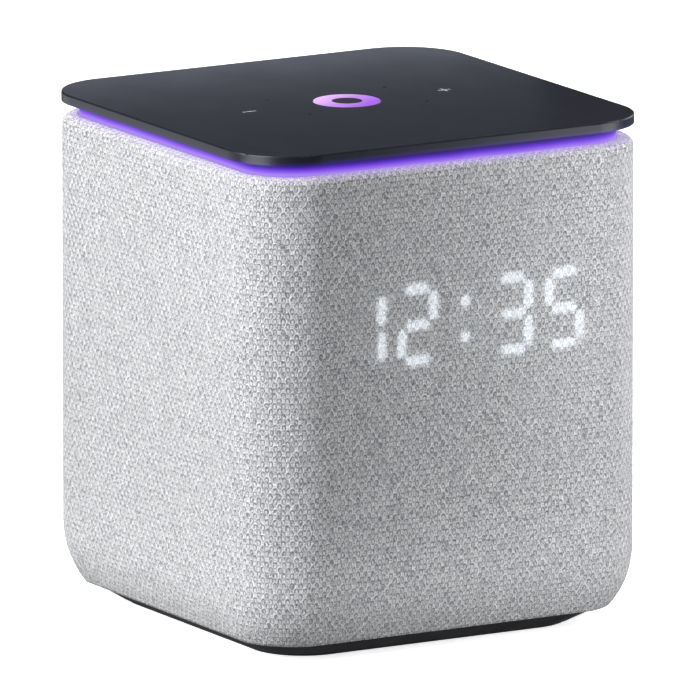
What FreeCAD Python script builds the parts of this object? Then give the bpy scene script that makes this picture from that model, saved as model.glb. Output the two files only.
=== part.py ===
import FreeCAD, Part
import math
import os
import Sketcher

# A compact cube-shaped smart speaker. +Z is up, the clock face looks towards -Y,
# and the origin is under the middle of the rubber foot. All sizes are in millimetres.
SIZES = {
    # outside
    "height": 134.4, "plate_side": 118.0, "plate_corner": 17.7, "plate_thick": 2.55,
    "plate_edge": 0.4, "light_gap": 3.8, "light_recess": 4.7, "fabric_set_back": 0.2,
    "fabric_thick": 1.4, "fabric_foot_round": 17.0,
    "fabric_shoulder": 2.3, "rim_height": 4.9, "fit_gap": 0.1, "slide_gap": 0.2,
    # shell and its grille slots
    "shell_wall": 2.2, "slot_width": 4.0, "slot_pitch": 9.0, "slot_low": 22.0, "side_slot_tall": 88.0,
    "front_slot_tall": 44.0,
    # light band and top electronics
    "guide_wall": 2.4, "guide_depth": 6.0, "deck_thick": 2.0, "deck_gap": 0.3, "board_thick": 1.2,
    "ring_board_width": 7.0, "led_long": 3.0, "led_size": 1.2, "led_pitch": 18.0,
    "touch_margin": 5.9, "touch_corner": 8.0, "touch_gap": 0.4, "deck_wall": 2.0, "deck_wall_inset": 2.0,
    "mic_x": 17.5, "mic_y": 10.9, "mic_hole_round": 0.5, "mic_long": 3.5, "mic_wide": 2.65,
    "mic_tall": 1.1, "gasket_round": 2.0, "port_round": 0.6,
    "icon_round": 8.7, "icon_hole_round": 4.0, "icon_depth": 1.2, "icon_gap": 0.05,
    "icon_port_round": 0.8, "icon_led_tall": 0.35, "icon_led_side": 1.0,
    "mark_x": 29.1, "mark_long": 3.8, "mark_wide": 0.55, "mark_depth": 0.3,
    # clock display
    "clock_x": 1.1, "clock_drop": 40.95, "digit_near": 14.2, "digit_pitch": 15.3, "digit_wide": 9.3,
    "digit_tall": 18.8, "stroke": 2.2, "stroke_space": 0.5, "dot_round": 1.2, "dot_rise": 4.7,
    "display_wide": 76.0, "display_tall": 27.0, "display_border": 2.0, "display_board_thick": 1.0,
    # acoustic enclosure
    "driver_room": 6.1, "electronics_room": 21.1, "baffle_deep": 19.0, "box_corner": 10.0, "box_wall": 2.5,
    "box_floor": 13.0, "seal_thick": 0.8, "seam_boss_round": 4.2, "seam_boss_inset": 7.0,
    "seam_boss_deep": 10.0, "seam_screw_bite": 6.0,
    "woofer_rise": 1.0, "woofer_hole": 23.5, "woofer_flange": 4.5, "woofer_roll": 4.5,
    "tweeter_drop": 12.05, "tweeter_hole": 8.4, "tweeter_flange": 1.1,
    "radiator_hole": 24.2, "radiator_flange": 3.3, "radiator_roll": 7.2,
    # woofer
    "flange_thick": 1.5, "basket_wall": 1.2, "basket_depth": 11.0, "motor_round": 16.0,
    "front_steel": 2.0, "magnet_thick": 6.0, "yoke_thick": 2.0, "pole_round": 9.0,
    "coil_round": 10.2, "coil_thick": 0.6, "former_thick": 0.5, "motor_gap": 0.6, "coil_long": 6.0,
    "cone_thick": 0.6, "cone_depth": 6.0, "roll_rise": 1.4, "roll_thick": 0.5,
    "spider_thick": 0.4, "foil_thick": 0.4,
    # main board, rear panel and its fittings
    "board_stand": 4.0, "post_round": 3.0, "post_edge": 1.0, "main_wide": 80.0, "main_low": 20.0,
    "main_top_gap": 8.0,
    "main_thick": 1.6, "shield_x": 14.0, "shield_drop": 32.0, "shield_side": 28.0, "shield_tall": 2.6,
    "sink_side": 26.0, "sink_floor": 1.2, "fin_tall": 6.0, "fin_thick": 1.5,
    "chip_x": 12.0, "chip_drop": 26.0, "chip_side": 12.0, "chip_tall": 1.2, "chip_pitch": 18.0,
    "capacitor_x": 28.0, "capacitor_drop": 20.0, "capacitor_round": 3.0, "capacitor_tall": 8.0,
    "capacitor_pitch": 8.0, "plug_wide": 16.0, "plug_tall": 5.0, "plug_deep": 2.0, "plug_drop": 7.0,
    "ribbon_wide": 12.0, "ribbon_thick": 0.3,
    "panel_wide": 46.0, "panel_tall": 20.0, "panel_corner": 4.0, "panel_z": 31.0, "panel_flange": 2.0,
    "jack_x": 12.0, "recess_round": 5.5, "jack_hole": 3.2, "jack_wide": 9.0, "jack_tall": 11.0,
    "button_round": 4.4, "button_proud": 0.8, "button_flange": 1.0, "button_stem": 1.6,
    "button_travel": 0.6, "switch_side": 6.0, "switch_tall": 3.9, "switch_tip": 0.5,
    # base
    "base_bottom": 0.8, "base_slope": 6.3, "base_edge_step": 0.8, "base_corner_share": 0.3, "base_floor": 2.0,
    "spigot_height": 3.6, "spigot_wall": 2.0, "foot_inset": 13.6, "foot_width": 9.0, "foot_sunk": 0.5,
    "foot_corner": 14.0, "foot_screw_y": 22.0, "base_post_round": 5.0,
    # fasteners
    "screw_round": 1.25, "screw_head": 2.3, "screw_head_tall": 1.4, "screw_gap": 0.1,
    "board_screw_long": 4.5, "deck_screw_long": 4.0, "small_screw_round": 0.9,
    "small_screw_head": 1.6, "small_head_tall": 0.8, "small_screw_long": 3.5,
}

ICON_LAMPS = 6
SIDE_LAMPS_EACH_WAY = 2
SLOTS_EACH_WAY = 4
CAPACITORS = 4
FINS = 6

UP = FreeCAD.Rotation()
TO_FRONT = FreeCAD.Rotation(FreeCAD.Vector(1, 0, 0), 90)
TO_BACK = FreeCAD.Rotation(FreeCAD.Vector(1, 0, 0), -90)
TO_RIGHT = FreeCAD.Rotation(FreeCAD.Vector(0, 1, 0), 90)
TO_LEFT = FreeCAD.Rotation(FreeCAD.Vector(0, 1, 0), -90)
DOWN = FreeCAD.Rotation(FreeCAD.Vector(1, 0, 0), 180)


class Size:
    """A length: its expression on the sheet and what that comes to now."""

    def __init__(self, text, value):
        self.text = text
        self.value = value

    def joined(self, sign, other, value):
        return Size(f"({self.text} {sign} {other.text})", value)

    def __add__(self, other):
        other = as_size(other)
        return self.joined("+", other, self.value + other.value)

    def __sub__(self, other):
        other = as_size(other)
        return self.joined("-", other, self.value - other.value)

    def __mul__(self, other):
        other = as_size(other)
        return self.joined("*", other, self.value * other.value)

    def __truediv__(self, other):
        other = as_size(other)
        return self.joined("/", other, self.value / other.value)

    def __neg__(self):
        return Size(f"(0 - {self.text})", -self.value)

    def root(self):
        return Size(f"sqrt({self.text})", math.sqrt(self.value))


def as_size(number):
    return number if isinstance(number, Size) else Size(repr(float(number)), float(number))


ZERO = as_size(0)
doc = FreeCAD.newDocument("smart_speaker")
sheet = doc.addObject("Spreadsheet::Sheet", "Dim")


def fill_sheet():
    for row, (alias, number) in enumerate(SIZES.items(), start=1):
        sheet.set(f"A{row}", alias)
        sheet.set(f"B{row}", str(number))
        sheet.setAlias(f"B{row}", alias)
    doc.recompute()


def dim(alias):
    return Size(f"Dim.{alias}", SIZES[alias])


def bind(item, path, size):
    item.setExpression(path, size.text)


def place(item, x, y, z, facing=UP):
    item.Placement = FreeCAD.Placement(FreeCAD.Vector(x.value, y.value, z.value), facing)
    for axis, size in zip("xyz", (x, y, z)):
        bind(item, f"Placement.Base.{axis}", size)


# ---- sketches -------------------------------------------------------------------------------

def constrain(sketch, size, kind, *targets):
    number = sketch.addConstraint(Sketcher.Constraint(kind, *targets, size.value))
    name = f"size{number}"
    sketch.renameConstraint(number, name)
    bind(sketch, f"Constraints.{name}", size)


def pin_axis(sketch, kind, axis, geometry, end, size):
    """Hold one coordinate of a point; a point on the axis is tied to the axis itself."""
    if abs(size.value) < 1e-9:
        sketch.addConstraint(Sketcher.Constraint("PointOnObject", geometry, end, axis))
    elif size.value > 0:
        constrain(sketch, size, kind, -1, 1, geometry, end)
    else:
        constrain(sketch, -size, kind, geometry, end, -1, 1)


def pin(sketch, geometry, end, x, y):
    pin_axis(sketch, "DistanceX", -2, geometry, end, x)
    pin_axis(sketch, "DistanceY", -1, geometry, end, y)


def new_sketch(body, name, role="XY_Plane", lift=ZERO):
    sketch = body.newObject("Sketcher::SketchObject", name)
    origin_plane = next(item for item in body.Origin.OriginFeatures if item.Role == role)
    sketch.AttachmentSupport = [(origin_plane, "")]
    sketch.MapMode = "FlatFace"
    bind(sketch, "AttachmentOffset.Base.z", lift)
    return sketch


def polygon(sketch, points):
    corners = [FreeCAD.Vector(x.value, y.value, 0) for x, y in points]
    first = sketch.GeometryCount
    for number, corner in enumerate(corners):
        sketch.addGeometry(Part.LineSegment(corner, corners[(number + 1) % len(corners)]), False)
    for number, (x, y) in enumerate(points):
        following = first + (number + 1) % len(corners)
        sketch.addConstraint(Sketcher.Constraint("Coincident", first + number, 2, following, 1))
        pin(sketch, first + number, 1, x, y)


def circle(sketch, x, y, radius):
    number = sketch.GeometryCount
    centre = FreeCAD.Vector(x.value, y.value, 0)
    sketch.addGeometry(Part.Circle(centre, FreeCAD.Vector(0, 0, 1), radius.value), False)
    pin(sketch, number, 3, x, y)
    constrain(sketch, radius, "Radius", number)


def rounded_rectangle(sketch, left, right, low, high, corner):
    """Four straight sides joined by four tangent quarter arcs."""
    first = sketch.GeometryCount
    r = corner.value
    inner = (left.value + r, right.value - r, low.value + r, high.value - r)
    centres = ((inner[1], inner[3]), (inner[0], inner[3]), (inner[0], inner[2]), (inner[1], inner[2]))
    axis = FreeCAD.Vector(0, 0, 1)
    for turn, (x, y) in enumerate(centres):
        full = Part.Circle(FreeCAD.Vector(x, y, 0), axis, r)
        sketch.addGeometry(Part.ArcOfCircle(full, turn * math.pi / 2, (turn + 1) * math.pi / 2), False)
    for turn in range(4):
        start = sketch.getPoint(first + turn, 2)
        end = sketch.getPoint(first + (turn + 1) % 4, 1)
        sketch.addGeometry(Part.LineSegment(start, end), False)
    for turn in range(4):
        line = first + 4 + turn
        sketch.addConstraint(Sketcher.Constraint("Tangent", first + turn, 2, line, 1))
        sketch.addConstraint(Sketcher.Constraint("Tangent", line, 2, first + (turn + 1) % 4, 1))
    sketch.addConstraint(Sketcher.Constraint("Horizontal", first + 4))
    sketch.addConstraint(Sketcher.Constraint("Vertical", first + 5))
    for turn in range(1, 4):
        sketch.addConstraint(Sketcher.Constraint("Equal", first, first + turn))
    constrain(sketch, corner, "Radius", first)
    pin_axis(sketch, "DistanceY", -1, first + 4, 1, high)
    pin_axis(sketch, "DistanceX", -2, first + 5, 1, left)
    pin_axis(sketch, "DistanceY", -1, first + 6, 1, low)
    pin_axis(sketch, "DistanceX", -2, first + 7, 1, right)


def square(sketch, side, corner):
    rounded_rectangle(sketch, -side / 2, side / 2, -side / 2, side / 2, corner)


# ---- solids ---------------------------------------------------------------------------------

def new_body(name, x=ZERO, y=ZERO, z=ZERO, facing=UP):
    body = doc.addObject("PartDesign::Body", name)
    place(body, x, y, z, facing)
    return body


def pad(body, sketch, length):
    feature = body.newObject("PartDesign::Pad", f"{body.Name}_pad")
    feature.Profile = sketch
    bind(feature, "Length", length)
    return feature


def pocket(body, sketch, depth):
    """Cut from the sketch down into the solid below it."""
    feature = body.newObject("PartDesign::Pocket", f"{body.Name}_pocket")
    feature.Profile = sketch
    bind(feature, "Length", depth)
    return feature


def dress(body, kind, base, heights, size):
    """Fillet or chamfer every edge of base that lies flat at one of the local heights."""
    doc.recompute()
    names = []
    for number, edge in enumerate(base.Shape.Edges, start=1):
        box = edge.BoundBox
        if box.ZLength < 1e-4 and any(abs(box.ZMin - height.value) < 1e-4 for height in heights):
            names.append(f"Edge{number}")
    feature = body.newObject(f"PartDesign::{kind}", f"{body.Name}_{kind.lower()}")
    feature.Base = (base, names)
    bind(feature, "Radius" if kind == "Fillet" else "Size", size)
    return feature


def slab(name, side, corner, z, thick):
    """A square plate with rounded corners, centred on the upright axis."""
    body = new_body(name, z=z)
    sketch = new_sketch(body, f"{name}_outline")
    square(sketch, side, corner)
    pad(body, sketch, thick)
    return body


def square_ring(name, side, corner, wall, z, thick):
    body = new_body(name, z=z)
    sketch = new_sketch(body, f"{name}_outline")
    square(sketch, side, corner)
    square(sketch, side - wall * 2, corner - wall)
    pad(body, sketch, thick)
    return body


def turned(name, profiles, at, facing=UP):
    """A solid turned about the local Z axis; profiles hold (radius, height) corners."""
    body = new_body(name, *at, facing)
    sketch = new_sketch(body, f"{name}_profile", "XZ_Plane")
    for profile in profiles:
        polygon(sketch, profile)
    feature = body.newObject("PartDesign::Revolution", f"{name}_turn")
    feature.Profile = sketch
    feature.ReferenceAxis = (sketch, ["V_Axis"])
    feature.Angle = 360
    return body


def band(inner, outer, low, high):
    return [(inner, low), (outer, low), (outer, high), (inner, high)]


def box(name, low, span):
    item = doc.addObject("Part::Box", name)
    for side, size in zip(("Length", "Width", "Height"), span):
        bind(item, side, size)
    place(item, *low)
    return item


def centred_box(name, middle, span):
    return box(name, [centre - size / 2 for centre, size in zip(middle, span)], span)


def cylinder(name, radius, length, at, facing=UP):
    item = doc.addObject("Part::Cylinder", name)
    bind(item, "Radius", radius)
    bind(item, "Height", length)
    place(item, *at, facing)
    return item


def group(name, members):
    """Separate solids of one kind, kept in one node."""
    item = doc.addObject("Part::Compound", name)
    item.Links = members
    return item


def joined(name, members):
    item = doc.addObject("Part::MultiFuse", name)
    item.Shapes = members
    return item


def cut(name, base, tools):
    item = doc.addObject("Part::Cut", name)
    item.Base = base
    item.Tool = tools[0] if len(tools) == 1 else joined(f"{name}_tools", tools)
    return item


def four(x, y):
    return [(x * right, y * up) for right in (-1, 1) for up in (-1, 1)]


def screw(name, at, facing, radius, length, head, head_tall):
    """Shank from the seating plane along the facing, head behind the plane."""
    profile = [(ZERO, -head_tall), (head, -head_tall), (head, ZERO), (radius, ZERO), (radius, length),
               (ZERO, length)]
    return turned(name, [profile], at, facing)


def large_screw(name, at, facing, length):
    return screw(name, at, facing, dim("screw_round"), length, dim("screw_head"), dim("screw_head_tall"))


def small_screw(name, at, facing):
    return screw(name, at, facing, dim("small_screw_round"), dim("small_screw_long"),
                 dim("small_screw_head"), dim("small_head_tall"))


# ---- shared places --------------------------------------------------------------------------

fill_sheet()
fit = dim("fit_gap")
fabric_side = dim("plate_side") - dim("fabric_set_back") * 2
fabric_corner = dim("plate_corner") - dim("fabric_set_back")
plate_bottom = dim("height") - dim("plate_thick")
fabric_top = plate_bottom - dim("light_gap")
skin = dim("fabric_thick") + fit
shell_half = fabric_side / 2 - skin
shell_inner = shell_half - dim("shell_wall")
shell_top = fabric_top - skin
guide_side = dim("plate_side") - dim("light_recess") * 2
guide_corner = dim("plate_corner") - dim("light_recess")
deck_top = fabric_top - dim("guide_depth")
deck_bottom = deck_top - dim("deck_thick")
touch_top = plate_bottom - dim("touch_gap")
touch_bottom = touch_top - dim("board_thick")
touch_side = guide_side - dim("guide_wall") * 2 - dim("touch_margin") * 2
box_half = shell_inner - dim("driver_room")
box_back = shell_inner - dim("electronics_room")
seam = dim("baffle_deep") - box_half
clock_z = fabric_top - dim("clock_drop")
woofer_round = dim("woofer_hole") + dim("woofer_flange")
woofer_z = dim("box_floor") + dim("woofer_rise") + woofer_round
cone_round = dim("woofer_hole") - dim("woofer_roll")
tweeter_z = deck_bottom - dim("tweeter_drop")
radiator_round = dim("radiator_hole") + dim("radiator_flange")
radiator_y = (box_back + seam) / 2
radiator_z = (dim("box_floor") + deck_bottom) / 2
board_front = box_back + dim("board_stand")
board_back = board_front + dim("main_thick")
board_top = deck_bottom - dim("main_top_gap")
ribbon_y = board_back + dim("plug_deep") / 2
panel_inner = shell_inner - dim("panel_flange")
panel_outer = fabric_side / 2
foot_side = dim("plate_side") - dim("foot_inset") * 2
screw_hole = dim("screw_round") + dim("screw_gap")
small_hole = dim("small_screw_round") + dim("screw_gap")


def fabric_inset(height, inward=ZERO):
    """How far a surface `inward` of the fabric's outside has curved in at a height near the foot."""
    rounding = dim("fabric_foot_round") - inward
    drop = dim("fabric_foot_round") - height
    return rounding - (rounding * rounding - drop * drop).root()


# ---- top ------------------------------------------------------------------------------------

def mark_bars(name, depth, grow):
    """A minus sign on the left and a plus sign on the right, as three shallow bars."""
    z = dim("height") - depth / 2
    reach = dim("mark_long") + grow * 2
    width = dim("mark_wide") + grow * 2
    left = -dim("mark_x")
    minus = centred_box(f"{name}_minus", (left, ZERO, z), (reach, width, depth))
    across = centred_box(f"{name}_across", (-left, ZERO, z), (reach, width, depth))
    along = centred_box(f"{name}_along", (-left, ZERO, z), (width, reach, depth))
    return minus, joined(f"{name}_plus", [across, along])


def icon_ports(name, radius, z, length):
    """Six round places under the lit ring."""
    middle = (dim("icon_round") + dim("icon_hole_round")) / 2
    places = []
    for number in range(ICON_LAMPS):
        angle = math.tau * number / ICON_LAMPS
        at = (middle * math.cos(angle), middle * math.sin(angle), z)
        places.append(cylinder(f"{name}_{number}", radius, length, at))
    return places


def make_top_plate():
    body = slab("plate_blank", dim("plate_side"), dim("plate_corner"), plate_bottom, dim("plate_thick"))
    seat = new_sketch(body, "icon_seat", lift=dim("plate_thick"))
    circle(seat, ZERO, ZERO, dim("icon_round") + dim("icon_gap"))
    seat_cut = pocket(body, seat, dim("icon_depth"))
    body.Tip = dress(body, "Fillet", seat_cut, (dim("plate_thick"),), dim("plate_edge"))
    thick = dim("plate_thick")
    below = plate_bottom - thick / 2
    holes = [cylinder("mic_hole", dim("mic_hole_round"), thick * 2, (x, y, below))
             for x, y in four(dim("mic_x"), dim("mic_y"))]
    ports = icon_ports("icon_port", dim("icon_port_round"), below, thick)
    seats = list(mark_bars("mark_seat", dim("mark_depth"), dim("icon_gap")))
    cut("top_plate", body, holes + ports + seats)


def make_icon():
    low = dim("height") - dim("icon_depth")
    inner = dim("icon_hole_round")
    ring = band(inner, dim("icon_round"), ZERO, dim("icon_depth"))
    turned("activation_ring", [ring], (ZERO, ZERO, low))
    cylinder("ring_centre_cap", inner - dim("icon_gap"), dim("icon_depth"), (ZERO, ZERO, low))
    group("volume_marks", list(mark_bars("mark", dim("mark_depth"), ZERO)))


def make_light_band():
    square_ring("light_guide", guide_side, guide_corner, dim("guide_wall"), deck_top, plate_bottom - deck_top)
    board_side = guide_side - dim("guide_wall") * 2 - dim("deck_gap") * 2
    board_corner = guide_corner - dim("guide_wall") - dim("deck_gap")
    board_wide = dim("ring_board_width")
    square_ring("light_board", board_side, board_corner, board_wide, deck_top, dim("board_thick"))
    out = board_side / 2 - dim("led_size")
    z = deck_top + dim("board_thick")
    lamps = []
    for number in range(-SIDE_LAMPS_EACH_WAY, SIDE_LAMPS_EACH_WAY + 1):
        along = dim("led_pitch") * number
        for side in (-1, 1):
            for name, x, y, wide, deep in (
                ("across", along, out * side, dim("led_long"), dim("led_size")),
                ("down", out * side, along, dim("led_size"), dim("led_long")),
            ):
                middle = (x, y, z + dim("led_size") / 2)
                lamps.append(centred_box(f"lamp_{name}", middle, (wide, deep, dim("led_size"))))
    group("light_board_lamps", lamps)


def make_touch_board():
    """The board under the plate, with a microphone and a sealing ring at each sound hole."""
    body = slab("touch_blank", touch_side, dim("touch_corner"), touch_bottom, dim("board_thick"))
    places = four(dim("mic_x"), dim("mic_y"))
    thick = dim("board_thick")
    holes = [cylinder("sound_port", dim("port_round"), thick * 3, (x, y, touch_bottom - thick))
             for x, y in places]
    cut("touch_board", body, holes)
    low = touch_bottom - dim("mic_tall")
    span = (dim("mic_long"), dim("mic_wide"), dim("mic_tall"))
    middle = low + dim("mic_tall") / 2
    group("microphones", [centred_box("microphone", (x, y, middle), span) for x, y in places])
    ring = band(dim("port_round"), dim("gasket_round"), ZERO, dim("touch_gap"))
    group("microphone_gaskets", [turned("gasket", [ring], (x, y, touch_top)) for x, y in places])
    lamp = dim("icon_led_side")
    middle = (dim("icon_round") + dim("icon_hole_round")) / 2
    lamps = []
    for number in range(ICON_LAMPS):
        angle = math.tau * number / ICON_LAMPS
        centre = (middle * math.cos(angle), middle * math.sin(angle), touch_top + dim("icon_led_tall") / 2)
        lamps.append(centred_box("icon_lamp", centre, (lamp, lamp, dim("icon_led_tall"))))
    group("icon_lamps", lamps)


def deck_screw_places():
    reach = box_half - dim("box_corner") - dim("box_wall")
    back = box_back - dim("box_corner")
    return [(reach * side, y) for side in (-1, 1) for y in (-reach, back)]


def make_top_frame():
    """A deck over the enclosure with a square wall that carries the touch board."""
    side = shell_inner * 2 - dim("deck_gap") * 2
    corner = fabric_corner - skin - dim("shell_wall") - dim("deck_gap")
    body = slab("deck_blank", side, corner, deck_bottom, dim("deck_thick"))
    wall = new_sketch(body, "deck_wall", lift=dim("deck_thick"))
    wall_side = touch_side - dim("deck_wall_inset") * 2
    wall_corner = dim("touch_corner") - dim("deck_wall_inset")
    square(wall, wall_side, wall_corner)
    square(wall, wall_side - dim("deck_wall") * 2, wall_corner - dim("deck_wall"))
    pad(body, wall, touch_bottom - deck_top)
    places = deck_screw_places()
    length = dim("deck_thick") * 3
    below = deck_bottom - dim("deck_thick")
    cuts = [cylinder("deck_hole", screw_hole, length, (x, y, below)) for x, y in places]
    slot = (dim("ribbon_wide") + dim("deck_gap") * 2, dim("ribbon_thick") + dim("deck_gap") * 2, length)
    cuts.append(centred_box("ribbon_slot", (ZERO, ribbon_y, deck_top), slot))
    cut("top_frame", body, cuts)
    long_screw = dim("deck_screw_long")
    group("deck_screws", [large_screw("deck_screw", (x, y, deck_top), DOWN, long_screw) for x, y in places])


# ---- outer shell ----------------------------------------------------------------------------

def hull(name, inward, top, shoulder):
    """The speaker's outer form moved inward, with its foot and shoulder rounded."""
    side = fabric_side - inward * 2
    body = slab(name, side, fabric_corner - inward, inward, top - inward)
    foot = dress(body, "Fillet", body.Tip, (ZERO,), dim("fabric_foot_round") - inward)
    if shoulder is not None:
        body.Tip = dress(body, "Fillet", foot, (top - inward,), shoulder)
    return body


def panel_block(name, grow, y, depth):
    """A block with the rear panel's rounded outline, `grow` larger all round, from y backwards."""
    body = new_body(name, y=y, facing=TO_BACK)
    outline = new_sketch(body, f"{name}_outline")
    wide = dim("panel_wide") / 2 + grow
    tall = dim("panel_tall") / 2 + grow
    middle = -dim("panel_z")
    rounded_rectangle(outline, -wide, wide, middle - tall, middle + tall, dim("panel_corner") + grow)
    pad(body, outline, depth)
    return body


def panel_window(name, grow):
    return panel_block(name, grow, panel_inner, fabric_side / 2)


def floor_cutter(name):
    side = fabric_side
    return box(name, (-side / 2, -side / 2, -dim("rim_height")), (side, side, dim("rim_height") * 2))


def make_fabric():
    outer = hull("fabric_outside", ZERO, fabric_top, dim("fabric_shoulder"))
    inner_shoulder = dim("fabric_shoulder") - dim("fabric_thick")
    inner = hull("fabric_inside", dim("fabric_thick"), fabric_top - dim("fabric_thick"), inner_shoulder)
    mouth_side = guide_side + fit * 2
    mouth = slab("fabric_mouth", mouth_side, guide_corner + fit, shell_top - skin, skin * 3)
    window = panel_window("fabric_window", ZERO)
    cut("fabric_sleeve", outer, [inner, mouth, window, floor_cutter("fabric_cutter")])


def grille_slots():
    """Upright slots in both sides, and shorter ones in front of the woofer."""
    slots = []
    low = dim("slot_low")
    long_side = fabric_side
    for number in range(-SLOTS_EACH_WAY, SLOTS_EACH_WAY + 1):
        along = dim("slot_pitch") * number - dim("slot_width") / 2
        side_span = (long_side, dim("slot_width"), dim("side_slot_tall"))
        slots.append(box("side_slot", (-long_side / 2, along, low), side_span))
        slots.append(box("front_slot", (along, -long_side / 2, low),
                         (dim("slot_width"), long_side / 2, dim("front_slot_tall"))))
    return slots


def make_shell():
    outer = hull("shell_outside", skin, shell_top, dim("fabric_shoulder") - skin + fit)
    wall = skin + dim("shell_wall")
    inner = hull("shell_inside", wall, shell_top + skin, None)
    window = centred_box("display_window", (dim("clock_x"), -shell_half, clock_z),
                         (dim("display_wide") + fit * 2, shell_half, dim("display_tall") + fit * 2))
    tweeter = cylinder("tweeter_window", dim("tweeter_hole"), shell_half, (ZERO, ZERO, tweeter_z), TO_FRONT)
    cutters = [inner, window, tweeter, panel_window("shell_window", fit), floor_cutter("shell_cutter")]
    cut("grille_shell", outer, cutters + grille_slots())


# ---- clock display --------------------------------------------------------------------------

def digit_centres():
    near = dim("digit_near")
    far = near + dim("digit_pitch")
    return [dim("clock_x") + offset for offset in (-far, -near, near, far)]


def digit_strokes(name, y, depth, grow):
    """Seven bars for each of four digits, and the two dots between the pairs."""
    wide = dim("digit_wide") / 2
    tall = dim("digit_tall") / 2
    thick = dim("stroke") + grow * 2
    across = dim("digit_wide") - dim("stroke") - dim("stroke_space") + grow * 2
    down = tall - dim("stroke") - dim("stroke_space") + grow * 2
    middle = clock_z
    bars = []
    for centre in digit_centres():
        for rise in (-tall, ZERO, tall):
            bars.append(centred_box(f"{name}_bar", (centre, y, middle + rise), (across, depth, thick)))
        for reach in (-wide, wide):
            for rise in (-tall / 2, tall / 2):
                at = (centre + reach, y, middle + rise)
                bars.append(centred_box(f"{name}_post", at, (thick, depth, down)))
    for rise in (-dim("dot_rise"), dim("dot_rise")):
        at = (dim("clock_x"), y + depth / 2, middle + rise)
        bars.append(cylinder(f"{name}_dot", dim("dot_round") + grow, depth, at, TO_FRONT))
    return bars


def make_display():
    y = -shell_half + dim("shell_wall") / 2
    wide = dim("display_wide")
    mask_span = (wide, dim("shell_wall"), dim("display_tall"))
    blank = centred_box("mask_blank", (dim("clock_x"), y, clock_z), mask_span)
    cut("display_mask", blank, digit_strokes("mask_hole", y, dim("shell_wall") * 2, dim("icon_gap")))
    group("clock_segments", digit_strokes("segment", y, dim("shell_wall"), ZERO))
    border = dim("display_border") * 2
    board_y = -shell_inner + dim("display_board_thick") / 2
    centred_box("display_board", (dim("clock_x"), board_y, clock_z),
                (wide + border, dim("display_board_thick"), dim("display_tall") + border))


# ---- acoustic enclosure ---------------------------------------------------------------------

def tub(name, y, depth, facing, floor_up):
    """Half of the enclosure: a rounded box, open at its seam, closed at its far end."""
    body = new_body(name, y=y, facing=facing)
    half = box_half
    low = dim("box_floor") * floor_up
    high = deck_bottom * floor_up
    edges = (low, high) if floor_up > 0 else (high, low)
    outline = new_sketch(body, f"{name}_outline")
    rounded_rectangle(outline, -half, half, *edges, dim("box_corner"))
    pad(body, outline, depth)
    wall = dim("box_wall")
    hollow = new_sketch(body, f"{name}_hollow", lift=depth - wall)
    corner = dim("box_corner") - wall
    rounded_rectangle(hollow, -half + wall, half - wall, edges[0] + wall, edges[1] - wall, corner)
    pocket(body, hollow, depth)
    return body


def seam_screw_places():
    inset = dim("seam_boss_inset")
    reach = box_half - inset
    return [(reach * side, z) for side in (-1, 1) for z in (dim("box_floor") + inset, deck_bottom - inset)]


def driver_screw_places(middle, reach):
    return [(x, middle + z) for x, z in four(reach, reach)]


def board_post_places():
    x = dim("main_wide") / 2 - dim("post_round") - dim("post_edge")
    inset = dim("post_round") + dim("post_edge")
    return [(x * side, z) for side in (-1, 1) for z in (dim("main_low") + inset, board_top - inset)]


def flange_screw_reach(flange, hole):
    return (flange + hole) / 2 * math.sqrt(0.5)


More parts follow.
